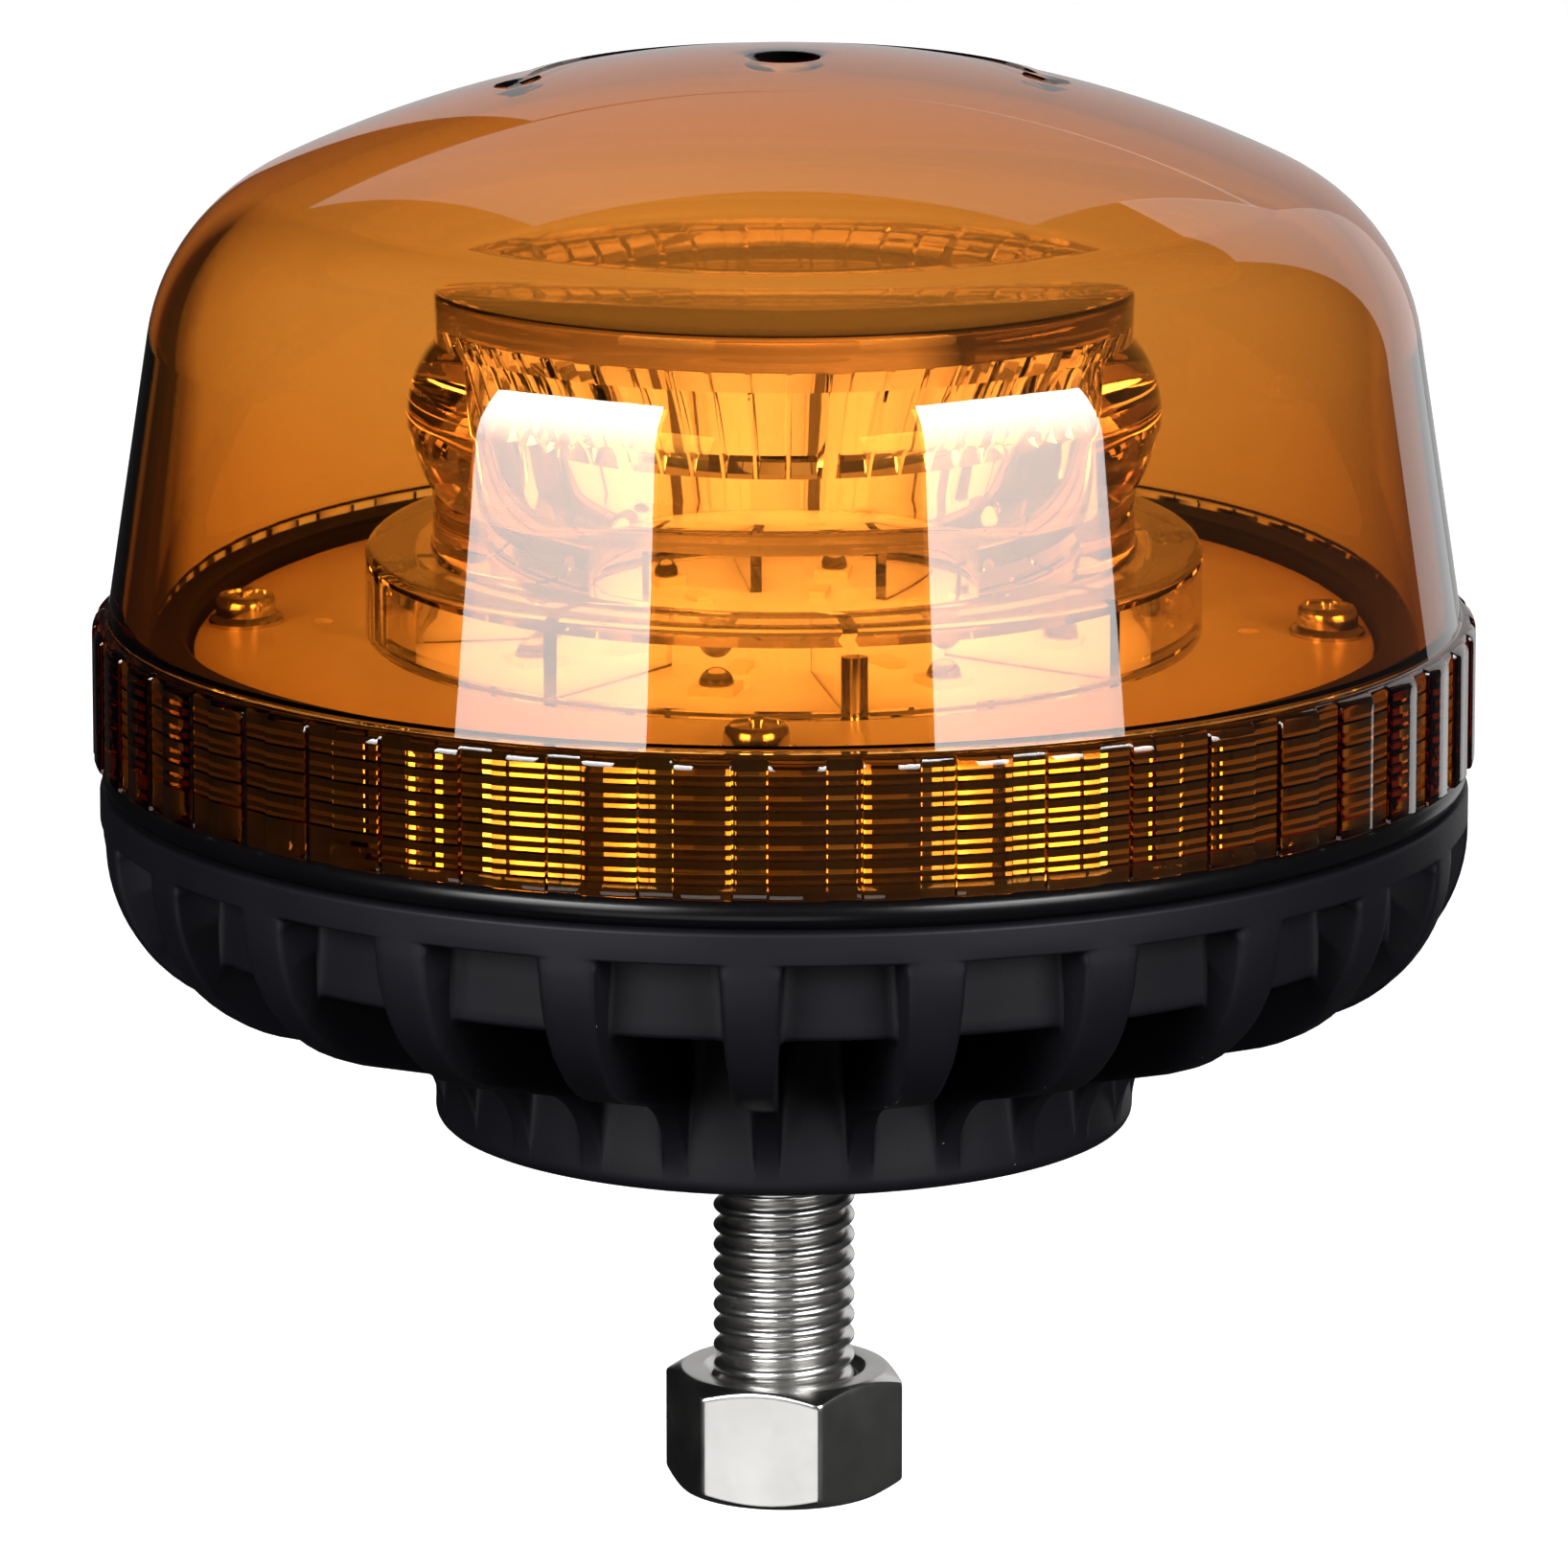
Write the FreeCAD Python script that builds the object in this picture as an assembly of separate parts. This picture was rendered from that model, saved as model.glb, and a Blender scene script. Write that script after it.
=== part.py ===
import FreeCAD, Part
import math
import os

# Amber LED warning beacon with a screw-on dome and a single-bolt mount.
# Millimetres. The origin is the centre of the mounting face, +Z is up and the front is -Y.

# Clearances
RUN_GAP = 0.35          # between the lens or seal and the collar they screw along
THREAD_GAP = 0.15       # between the plain bolt and nut walls that stand for their threads
SLIP_GAP = 0.25         # holes and pockets that a fastener drops into
PRESS_GAP = 0.05        # screws in moulded pilot holes and the grommet in its hole

# Mounting bolt and nut, M12
BOLT_D = 12.0
BOLT_LENGTH = 40.0
BOLT_POINT = 1.2        # chamfer at the free end
HEX_AF = 18.0           # across flats, head and nut
HEX_CHAMFER = 30.0      # degrees, on the corners of the head and nut
HEAD_HEIGHT = 7.5
NUT_HEIGHT = 10.4
NUT_TURN = -10.3        # angle of one nut flat from the front

# Bolt seat inside the hub
SEAT_Z = 7.5            # mounting face to the underside of the bolt's head
SEAT_WALL = 2.8         # seat beyond the keeper's screws
BOLT_SEAL_INSET = 0.4   # the seal stops this far inside the head's flats
BOLT_SEAL_THICK = 1.5
KEEPER_THICK = 1.5
KEEPER_EDGE = 0.5       # the keeper plate stops this far inside the seat
KEEPER_SCREW_EDGE = 3.2  # from a flat of the bolt's head to the keeper's screws
KEEPER_SCREW_D = 2.5
KEEPER_SCREW_LENGTH = 8.0
KEEPER_SCREW_HEAD_D = 4.5
KEEPER_SCREW_HEAD = 1.8

# Cable inlet, on the hub's underside behind the bolt
GROMMET_BORE_D = 5.2
GROMMET_WALL = 1.3
GROMMET_GRIP = 0.8      # how far its lips reach past the hole
GROMMET_LIP = 1.2
INLET_RECESS = 1.5      # sinks the lower lip above the mounting face
INLET_ROOM = 0.5        # beside the grommet, between the seat and the hub's wall

# Finned base
HUB_WALL = 4.0
HUB_EDGE = 1.1
HUB_FILLET = 5.0
HUB_FLOOR = 4.0
RIM_R = 57.4
RIM_TOP = 29.0
RIM_LIP = 2.8           # plain rim above the gaps between fins
FIN_ARC_R = 14.0
FIN_ARC_DROP = 3.5      # rim's top to the centre of the fins' arc
FIN_SLOPE = 9.5         # degrees, of the fins' undersides towards the hub
FIN_COUNT = 24
FIN_ANGLE = 5.0         # each fin's width in degrees
GAP_DEPTH = 4.4         # from the rim's face to the upright wall at the back of each gap
GAP_FOOT = 1.7          # height where the gaps fade out on the hub
GAP_TAPER = 1.2         # how far the hub leans in behind a gap
CHAMBER_DEPTH = 7.5     # below the rim's top
CHAMBER_FLOOR_THICK = 2.5
COLLAR_WALL = 4.0
COLLAR_HEIGHT = 13.5

# Lens seal
SEAL_STEP = 0.2         # how far its face lies inside the rim
SEAL_ROUND = 1.2
SEAL_FLAT = 0.2         # straight stretch between its rounded edges

# Lens
BAND_PROUD = 0.05       # how far the band's face stands out past the rim
BAND_WALL = 2.45
BAND_ROOM = 0.7         # collar's top to the ledge over the band
BAND_EDGE = 0.6
THREAD_SPACE = 0.8      # between the band's bore and the collar, where the threads mesh
DOME_STEP = 0.8         # how far the dome's wall starts inside the band's face
DOME_LEAN = 8.6         # degrees, of the wall towards the axis
DOME_WALL = 2.5         # at the shoulder and crown
DOME_DRAFT = 6.5        # degrees, of the wall's inner face towards the axis, so that its foot is thicker
DOME_RISE = 47.0        # band's top to the crown
SHOULDER_R = 17.3
CROWN_R = 99.0
GATE_D = 5.9            # round sink at the crown
GATE_DEPTH = 1.0
GRIP_COUNT = 48
GRIP_ANGLE = 4.7        # each grip pad's width in degrees
GRIP_HEIGHT = 0.45      # how far a pad stands out of the band
GRIP_EDGE = 1.0         # round at a pad's upper edge

# Circuit board
BOARD_GAP = 0.6         # between the board's edge and the collar
BOARD_DROP = 1.5        # collar's top to the board's face
BOARD_THICK = 1.6
POST_R = 4.6
SCREW_COUNT = 4
SCREW_INSET = 3.8       # board's edge to the screws
SCREW_D = 3.3
SCREW_LENGTH = 12.0
SCREW_FLANGE_D = 6.6
SCREW_FLANGE = 0.7
SCREW_HEAD_D = 5.3
SCREW_HEAD = 2.0
BOARD_HOLE_D = 2.0      # two jig holes, inside the left and right screws
BOARD_HOLE_STEP = 6.6   # from the screws in to the jig holes

# Ring optic, from the board up
OPTIC_TURN = 12.3       # angle of the first web from the front
OPTIC_FOOT_R = 35.2
OPTIC_FOOT_WALL = 4.2
OPTIC_FOOT_HEIGHT = 7.5
OPTIC_FOOT_EDGE = 0.8
OPTIC_FOOT_STEP = 5.7   # from the foot's face in to the neck
OPTIC_INLET = 5.4       # height of the cells over the LEDs
OPTIC_WEB = 1.25        # webs between the cells
OPTIC_BUMP_R = 1.7      # lens bump over each LED
OPTIC_BUMP_FOOT = 0.8   # straight stretch of a bump
OPTIC_NECK = 4.9        # straight stretch over the foot
OPTIC_SWELL = 6.8       # neck to the fullest part of the bulge
OPTIC_FALL = 7.1        # fullest part to the disc
OPTIC_BULGE = 2.0       # how far the bulge stands out from the neck
OPTIC_DISC_STEP = 0.55  # the disc's edge lies this far inside the neck
OPTIC_DISC_HEIGHT = 4.8
OPTIC_DISC_THICK = 3.4
OPTIC_DISC_EDGE = 0.6
OPTIC_EYE_R = 16.5      # hole through the middle, under the funnel
FUNNEL_SLOPE = 50.0     # degrees, of the inner face that turns the LEDs' light outwards
FUNNEL_WALL = 1.3       # left outside the funnel at the disc
TEETH_PER_CELL = 6      # facets on the upper half of the funnel
TOOTH_ANGLE = 6.9       # from tooth to tooth
TOOTH_SPAN = 5.9        # each tooth's width in degrees
TOOTH_DEPTH = 0.8
TOOTH_HEIGHT = 10.4
OPTIC_SCREW_COUNT = 4
OPTIC_SCREW_D = 2.2
OPTIC_SCREW_GRIP = 5.0  # depth in the optic's foot
OPTIC_SCREW_HEAD_D = 4.2
OPTIC_SCREW_HEAD = 1.6

# LEDs and their resistors, on top of the board
LED_COUNT = 8
LED_INSET = 7.2         # bore of the optic's foot to the LEDs
LED_SIZE = 3.5
LED_THICK = 0.7
LED_DOME_D = 2.8
RESISTOR_INSET = 8.0    # LEDs to their resistors
RESISTOR_SIZE = (1.6, 3.2, 0.6)

# Driver parts, under the board: place, then size along x, y and z
INDUCTOR_PLACE = (0.0, -19.0)
INDUCTOR_SIZE = (12.0, 12.0, 7.5)
INDUCTOR_CORNER = 2.0
CHIP_PLACE = (-17.0, -10.0)
CHIP_SIZE = (5.0, 6.2, 1.75)
CHIP_BEVEL = 0.4
DIODE_PLACES = ((15.0, -13.0), (15.0, -4.0))
DIODE_SIZE = (6.6, 6.1, 2.3)
DIODE_BEVEL = 0.5
CAPACITOR_PLACES = ((-16.0, 12.0), (16.0, 12.0))
CAPACITOR_D = 10.0
CAPACITOR_HEIGHT = 12.5
CAPACITOR_EDGE = 0.8
TERMINAL_PLACE = (0.0, 24.0)
TERMINAL_SIZE = (10.0, 8.0, 9.5)
TERMINAL_WAYS = 2
TERMINAL_HOLE_D = 3.0

# Worked out: bolt, seat and hub, from the axis out
BOLT_R = BOLT_D / 2
BOLT_END = SEAT_Z - BOLT_LENGTH
SEAT_TOP = SEAT_Z + HEAD_HEIGHT
NUT_LOW = BOLT_END      # the nut stands flush with the bolt's end
BOLT_SEAL_R = HEX_AF / 2 - BOLT_SEAL_INSET
KEEPER_SCREW_CIRCLE_R = HEX_AF / 2 + KEEPER_SCREW_EDGE
SEAT_R = KEEPER_SCREW_CIRCLE_R + SEAT_WALL
INLET_HOLE_D = GROMMET_BORE_D + 2 * GROMMET_WALL
GROMMET_LIP_R = INLET_HOLE_D / 2 + GROMMET_GRIP
INLET_R = SEAT_R + INLET_ROOM + GROMMET_LIP_R
HUB_BORE_R = INLET_R + GROMMET_LIP_R + INLET_ROOM
HUB_R = HUB_BORE_R + HUB_WALL

# Worked out: rim, seal, lens and collar, from the rim in and up
GAP_BACK_R = RIM_R - GAP_DEPTH
GAP_TOP = RIM_TOP - RIM_LIP
CHAMBER_FLOOR = RIM_TOP - CHAMBER_DEPTH
GAP_SHELF = CHAMBER_FLOOR - CHAMBER_FLOOR_THICK
SEAL_R = RIM_R - SEAL_STEP
BAND_R = RIM_R + BAND_PROUD
BAND_BORE_R = BAND_R - BAND_WALL
DOME_WALL_R = BAND_R - DOME_STEP
GRIP_R = BAND_R + GRIP_HEIGHT
COLLAR_R = BAND_BORE_R - THREAD_SPACE
COLLAR_BORE_R = COLLAR_R - COLLAR_WALL
SEAL_BORE_R = COLLAR_R + RUN_GAP
COLLAR_TOP = RIM_TOP + COLLAR_HEIGHT
BAND_BOTTOM = RIM_TOP + 2 * SEAL_ROUND + SEAL_FLAT
BAND_TOP = COLLAR_TOP + BAND_ROOM
DOME_TOP = BAND_TOP + DOME_RISE

# Worked out: board, optic and LEDs
BOARD_R = COLLAR_BORE_R - BOARD_GAP
BOARD_TOP = COLLAR_TOP - BOARD_DROP
BOARD_BOTTOM = BOARD_TOP - BOARD_THICK
SCREW_CIRCLE_R = BOARD_R - SCREW_INSET
OPTIC_FOOT_BORE_R = OPTIC_FOOT_R - OPTIC_FOOT_WALL
OPTIC_NECK_R = OPTIC_FOOT_R - OPTIC_FOOT_STEP
OPTIC_CELL_TOP = BOARD_TOP + OPTIC_INLET
OPTIC_FOOT_TOP = BOARD_TOP + OPTIC_FOOT_HEIGHT
OPTIC_NECK_TOP = OPTIC_FOOT_TOP + OPTIC_NECK
OPTIC_BULGE_Z = OPTIC_NECK_TOP + OPTIC_SWELL
OPTIC_DISC_FOOT = OPTIC_BULGE_Z + OPTIC_FALL
OPTIC_TOP = OPTIC_DISC_FOOT + OPTIC_DISC_HEIGHT
OPTIC_CEILING = OPTIC_TOP - OPTIC_DISC_THICK
OPTIC_DISC_R = OPTIC_NECK_R - OPTIC_DISC_STEP
FUNNEL_R = OPTIC_DISC_R - FUNNEL_WALL
FUNNEL_RISE = math.tan(math.radians(FUNNEL_SLOPE))
LED_CIRCLE_R = OPTIC_FOOT_BORE_R - LED_INSET
LED_TURN = OPTIC_TURN - 180.0 / LED_COUNT      # midway between two webs
RESISTOR_CIRCLE_R = LED_CIRCLE_R - RESISTOR_INSET

# Direction and cuts
OVERRUN = 1.0           # how far cuts run past a face, and joined solids into each other
FRONT = -90.0           # the front's angle from +X


def at(radius, degrees, z=0.0):
    """The point at a radius and an angle counted from the front."""
    turn = math.radians(FRONT + degrees)
    return FreeCAD.Vector(radius * math.cos(turn), radius * math.sin(turn), z)


def turned(shape, degrees):
    """A copy of the shape, turned about the beacon's axis."""
    copy = shape.copy()
    copy.rotate(FreeCAD.Vector(), FreeCAD.Vector(0, 0, 1), degrees)
    return copy


def moved(shape, point):
    """A copy of the shape, carried to a point."""
    copy = shape.copy()
    copy.translate(point)
    return copy


def ring_of(shape, count, first=0.0):
    """Copies of the shape spread evenly about the axis."""
    return [turned(shape, first + k * 360.0 / count) for k in range(count)]


def cylinder(radius, z_low, z_high):
    """An upright cylinder on the axis."""
    return Part.makeCylinder(radius, z_high - z_low, FreeCAD.Vector(0, 0, z_low))


def tube(bore, radius, z_low, z_high):
    """An upright tube on the axis."""
    return cylinder(radius, z_low, z_high).cut(cylinder(bore, z_low, z_high))


def block(size, z_low):
    """A box centred on the axis, standing on a height."""
    corner = FreeCAD.Vector(-size[0] / 2, -size[1] / 2, z_low)
    return Part.makeBox(size[0], size[1], size[2], corner)


def hexagon(across_flats, z_low, z_high):
    """A hexagonal prism on the axis with one flat to the front."""
    corner_r = across_flats / math.sqrt(3)
    corners = [at(corner_r, 30.0 + 60.0 * k, z_low) for k in range(7)]
    face = Part.Face(Part.makePolygon(corners))
    return face.extrude(FreeCAD.Vector(0, 0, z_high - z_low))


class Outline:
    """A closed outline in the half plane of radius and height, drawn from point to point."""

    def __init__(self, r, z):
        self.start = FreeCAD.Vector(r, 0, z)
        self.here = self.start
        self.edges = []

    def line(self, r, z):
        """A straight run to a point."""
        there = FreeCAD.Vector(r, 0, z)
        self.edges.append(Part.LineSegment(self.here, there).toShape())
        self.here = there
        return self

    def arc(self, centre, radius, degrees_from, degrees_to):
        """A round run about a centre, after a straight run to its start where one is needed."""
        points = [
            (centre[0] + radius * math.cos(math.radians(d)), centre[1] + radius * math.sin(math.radians(d)))
            for d in (degrees_from, (degrees_from + degrees_to) / 2, degrees_to)
        ]
        first, middle, last = [FreeCAD.Vector(r, 0, z) for r, z in points]
        if first.distanceToPoint(self.here) > 1e-6:
            self.edges.append(Part.LineSegment(self.here, first).toShape())
        self.edges.append(Part.Arc(first, middle, last).toShape())
        self.here = last
        return self

    def bow(self, through, to):
        """A round run through one point to another."""
        middle, there = [FreeCAD.Vector(r, 0, z) for r, z in (through, to)]
        self.edges.append(Part.Arc(self.here, middle, there).toShape())
        self.here = there
        return self

    def face(self):
        """The closed outline as a flat face."""
        if self.here.distanceToPoint(self.start) > 1e-6:
            self.line(self.start.x, self.start.z)
        return Part.Face(Part.Wire(self.edges))

    def spin(self, degrees=360.0):
        """The solid that the outline sweeps about the axis."""
        return self.face().revolve(FreeCAD.Vector(), FreeCAD.Vector(0, 0, 1), degrees)


def hex_with_chamfers(z_low, z_high, chamfer_low, chamfer_high):
    """A hexagon whose corners are turned off at the stated ends."""
    flat_r = HEX_AF / 2
    corner_r = HEX_AF / math.sqrt(3)
    drop = (corner_r - flat_r) * math.tan(math.radians(HEX_CHAMFER))
    outline = Outline(0, z_low)
    if chamfer_low:
        outline.line(flat_r, z_low).line(corner_r, z_low + drop)
    else:
        outline.line(corner_r, z_low)
    if chamfer_high:
        outline.line(corner_r, z_high - drop).line(flat_r, z_high)
    else:
        outline.line(corner_r, z_high)
    turning = outline.line(0, z_high).spin()
    return hexagon(HEX_AF, z_low, z_high).common(turning)


def pan_screw(shank_d, length, head_d, head, flange_d=0.0, flange=0.0):
    """A screw pointing down, with its head's seat at height zero."""
    round_r = head / 2
    outline = Outline(0, -length).line(shank_d / 2, -length).line(shank_d / 2, 0)
    if flange:
        outline.line(flange_d / 2, 0).line(flange_d / 2, flange / 2).line(head_d / 2, flange)
    else:
        outline.line(head_d / 2, 0)
    outline.arc((head_d / 2 - round_r, flange + head - round_r), round_r, 0, 90)
    return outline.line(0, flange + head).spin()


def upside_down(shape):
    """A copy of the shape, turned over about the X axis."""
    copy = shape.copy()
    copy.rotate(FreeCAD.Vector(), FreeCAD.Vector(1, 0, 0), 180)
    return copy


def base_envelope():
    """The base turned as one body: hub, bowl of fins, rim, collar, chamber and bolt seat."""
    slope = math.radians(FIN_SLOPE)
    arc_centre = (RIM_R - FIN_ARC_R, RIM_TOP - FIN_ARC_DROP)
    arc_end_r = arc_centre[0] + FIN_ARC_R * math.sin(slope)
    arc_end_z = arc_centre[1] - FIN_ARC_R * math.cos(slope)
    fillet_r = HUB_R + HUB_FILLET
    under_z = arc_end_z - (arc_end_r - fillet_r) * math.tan(slope)
    fillet_z = under_z - HUB_FILLET / math.cos(slope)
    outline = Outline(0, 0)
    outline.arc((HUB_R - HUB_EDGE, HUB_EDGE), HUB_EDGE, -90, 0)
    outline.arc((fillet_r, fillet_z), HUB_FILLET, 180, 90 + FIN_SLOPE)
    outline.arc(arc_centre, FIN_ARC_R, FIN_SLOPE - 90, 0)
    outline.line(RIM_R, RIM_TOP).line(COLLAR_R, RIM_TOP).line(COLLAR_R, COLLAR_TOP)
    outline.line(COLLAR_BORE_R, COLLAR_TOP).line(COLLAR_BORE_R, CHAMBER_FLOOR)
    outline.line(HUB_BORE_R, CHAMBER_FLOOR).line(HUB_BORE_R, HUB_FLOOR)
    outline.line(SEAT_R, HUB_FLOOR).line(SEAT_R, SEAT_TOP).line(0, SEAT_TOP)
    return outline.spin()


def fin_gap():
    """One gap between fins: an upright window at the rim that runs in under the chamber to the hub."""
    outside = RIM_R + OVERRUN
    outline = Outline(GAP_BACK_R, GAP_TOP).line(outside, GAP_TOP).line(outside, GAP_FOOT)
    outline.line(HUB_R, GAP_FOOT).line(HUB_R - GAP_TAPER, GAP_SHELF).line(GAP_BACK_R, GAP_SHELF)
    sweep = outline.spin(360.0 / FIN_COUNT - FIN_ANGLE)
    return turned(sweep, FRONT + FIN_ANGLE / 2)


def board_posts():
    """Posts in the chamber that carry the board, each with a pilot hole."""
    post = cylinder(POST_R, CHAMBER_FLOOR - OVERRUN, BOARD_BOTTOM)
    pilot_end = BOARD_TOP - SCREW_LENGTH - SCREW_D / 2
    pilot = cylinder(SCREW_D / 2 + PRESS_GAP, pilot_end, BOARD_BOTTOM)
    foot = at(SCREW_CIRCLE_R, 0)
    posts = ring_of(moved(post, foot), SCREW_COUNT)
    pilots = ring_of(moved(pilot, foot), SCREW_COUNT)
    return posts, pilots


def keeper_screw_points():
    """Where the keeper's two screws stand, over flats of the bolt's head."""
    return [at(KEEPER_SCREW_CIRCLE_R, degrees) for degrees in (0.0, 180.0)]


def bolt_seat_cuts():
    """Hexagon pocket, seal recess, bolt hole and keeper pilot holes in the seat."""
    pilot_end = SEAT_TOP + KEEPER_THICK - KEEPER_SCREW_LENGTH - KEEPER_SCREW_D / 2
    pilot = cylinder(KEEPER_SCREW_D / 2 + PRESS_GAP, pilot_end, SEAT_TOP)
    return [
        hexagon(HEX_AF + 2 * SLIP_GAP, SEAT_Z, SEAT_TOP),
        cylinder(BOLT_SEAL_R + PRESS_GAP, SEAT_Z - BOLT_SEAL_THICK, SEAT_Z),
        cylinder(BOLT_R + SLIP_GAP, 0, SEAT_Z),
    ] + [moved(pilot, point) for point in keeper_screw_points()]


def inlet_cuts():
    """Hole and lower recess for the cable grommet."""
    hole = cylinder(INLET_HOLE_D / 2, 0, HUB_FLOOR)
    recess = cylinder(GROMMET_LIP_R + SLIP_GAP, 0, INLET_RECESS)
    return [moved(hole.fuse(recess), at(INLET_R, 180))]


def base_housing():
    posts, pilots = board_posts()
    housing = base_envelope().cut(ring_of(fin_gap(), FIN_COUNT))
    housing = housing.fuse(posts).removeSplitter()
    return housing.cut(pilots + bolt_seat_cuts() + inlet_cuts())


def mounting_bolt():
    head = hex_with_chamfers(SEAT_Z, SEAT_TOP, False, True)
    shank = Outline(0, BOLT_END).line(BOLT_R - BOLT_POINT, BOLT_END)
    shank.line(BOLT_R, BOLT_END + BOLT_POINT).line(BOLT_R, SEAT_Z).line(0, SEAT_Z)
    return head.fuse(shank.spin()).removeSplitter()


def bolt_seal():
    return tube(BOLT_R + PRESS_GAP, BOLT_SEAL_R, SEAT_Z - BOLT_SEAL_THICK, SEAT_Z)


def bolt_keeper():
    plate = cylinder(SEAT_R - KEEPER_EDGE, SEAT_TOP, SEAT_TOP + KEEPER_THICK)
    hole = cylinder(KEEPER_SCREW_D / 2 + SLIP_GAP, SEAT_TOP, SEAT_TOP + KEEPER_THICK)
    return plate.cut([moved(hole, point) for point in keeper_screw_points()])


def keeper_screws():
    screw = pan_screw(KEEPER_SCREW_D, KEEPER_SCREW_LENGTH, KEEPER_SCREW_HEAD_D, KEEPER_SCREW_HEAD)
    lift = FreeCAD.Vector(0, 0, SEAT_TOP + KEEPER_THICK)
    return Part.makeCompound([moved(screw, point + lift) for point in keeper_screw_points()])


def cable_grommet():
    lip_r = GROMMET_LIP_R
    neck_r = INLET_HOLE_D / 2 - PRESS_GAP
    bore_r = GROMMET_BORE_D / 2
    low = INLET_RECESS - GROMMET_LIP
    high = HUB_FLOOR + GROMMET_LIP
    outline = Outline(bore_r, low).line(lip_r, low).line(lip_r, INLET_RECESS).line(neck_r, INLET_RECESS)
    outline.line(neck_r, HUB_FLOOR).line(lip_r, HUB_FLOOR).line(lip_r, high).line(bore_r, high)
    return moved(outline.spin(), at(INLET_R, 180))


def mounting_nut():
    top = NUT_LOW + NUT_HEIGHT
    body = hex_with_chamfers(NUT_LOW, top, True, True)
    bore = cylinder(BOLT_R + THREAD_GAP, NUT_LOW, top)
    return turned(body.cut(bore), NUT_TURN)


def dome_arcs():
    """Centre of the shoulder arc, centre height of the crown and the angle where they meet."""
    lean = math.radians(DOME_LEAN)
    crown_z = DOME_TOP - CROWN_R
    along_r, along_z = -math.sin(lean), math.cos(lean)
    base_r = DOME_WALL_R - SHOULDER_R * math.cos(lean)
    base_z = BAND_TOP - SHOULDER_R * math.sin(lean) - crown_z
    reach = CROWN_R - SHOULDER_R
    half = base_r * along_r + base_z * along_z
    step = -half + math.sqrt(half * half - base_r * base_r - base_z * base_z + reach * reach)
    centre = (base_r + step * along_r, base_z + crown_z + step * along_z)
    meet = math.degrees(math.atan2(centre[1] - crown_z, centre[0]))
    return centre, crown_z, meet


def lens_shell():
    """The dome and its band as one turned wall."""
    shoulder, crown_z, meet = dome_arcs()
    draft = math.radians(DOME_DRAFT)
    bend_r = SHOULDER_R - DOME_WALL
    bend_start_z = shoulder[1] + bend_r * math.sin(draft)
    inner_r = shoulder[0] + bend_r * math.cos(draft) + (bend_start_z - BAND_TOP) * math.tan(draft)
    outline = Outline(BAND_BORE_R, BAND_BOTTOM).line(BAND_R, BAND_BOTTOM)
    outline.arc((BAND_R - BAND_EDGE, BAND_TOP - BAND_EDGE), BAND_EDGE, 0, 90)
    outline.line(DOME_WALL_R, BAND_TOP)
    outline.arc(shoulder, SHOULDER_R, DOME_LEAN, meet)
    outline.arc((0, crown_z), CROWN_R, meet, 90)
    outline.line(0, DOME_TOP - DOME_WALL)
    outline.arc((0, crown_z), CROWN_R - DOME_WALL, 90, meet)
    outline.arc(shoulder, bend_r, meet, DOME_DRAFT)
    outline.line(inner_r, BAND_TOP).line(BAND_BORE_R, BAND_TOP)
    return outline.spin()


def grip_pad():
    """One raised pad on the band, beside the groove at the front."""
    root_r = BAND_R - OVERRUN
    outline = Outline(root_r, BAND_BOTTOM).line(GRIP_R, BAND_BOTTOM)
    outline.arc((GRIP_R - GRIP_EDGE, BAND_TOP - GRIP_EDGE), GRIP_EDGE, 0, 90)
    pad = outline.line(root_r, BAND_TOP).spin(GRIP_ANGLE)
    groove = 360.0 / GRIP_COUNT - GRIP_ANGLE
    return turned(pad, FRONT + groove / 2)


def lens_dome():
    gate = cylinder(GATE_D / 2, DOME_TOP - GATE_DEPTH, DOME_TOP + GATE_DEPTH)
    pads = ring_of(grip_pad(), GRIP_COUNT)
    return lens_shell().fuse(pads).removeSplitter().cut(gate)


def lens_seal():
    outline = Outline(SEAL_BORE_R, RIM_TOP)
    outline.arc((SEAL_R - SEAL_ROUND, RIM_TOP + SEAL_ROUND), SEAL_ROUND, -90, 0)
    outline.arc((SEAL_R - SEAL_ROUND, BAND_BOTTOM - SEAL_ROUND), SEAL_ROUND, 0, 90)
    return outline.line(SEAL_BORE_R, BAND_BOTTOM).spin()


def optic_screw_points(z):
    """Where the screws under the board stand, in the middle of the optic's foot."""
    middle = OPTIC_FOOT_BORE_R + OPTIC_FOOT_WALL / 2
    return [at(middle, OPTIC_TURN + k * 360.0 / OPTIC_SCREW_COUNT, z) for k in range(OPTIC_SCREW_COUNT)]


def led_board():
    board = cylinder(BOARD_R, BOARD_BOTTOM, BOARD_TOP)
    edge_hole = cylinder(SCREW_D / 2 + SLIP_GAP, BOARD_BOTTOM, BOARD_TOP)
    optic_hole = cylinder(OPTIC_SCREW_D / 2 + SLIP_GAP, BOARD_BOTTOM, BOARD_TOP)
    holes = ring_of(moved(edge_hole, at(SCREW_CIRCLE_R, 0)), SCREW_COUNT)
    holes += [moved(optic_hole, point) for point in optic_screw_points(0)]
    jig_hole = cylinder(BOARD_HOLE_D / 2, BOARD_BOTTOM, BOARD_TOP)
    holes += [moved(jig_hole, at(SCREW_CIRCLE_R - BOARD_HOLE_STEP, degrees)) for degrees in (-90.0, 90.0)]
    return board.cut(holes)


def board_screws():
    screw = pan_screw(SCREW_D, SCREW_LENGTH, SCREW_HEAD_D, SCREW_HEAD, SCREW_FLANGE_D, SCREW_FLANGE)
    return Part.makeCompound(ring_of(moved(screw, at(SCREW_CIRCLE_R, 0, BOARD_TOP)), SCREW_COUNT))


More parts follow.
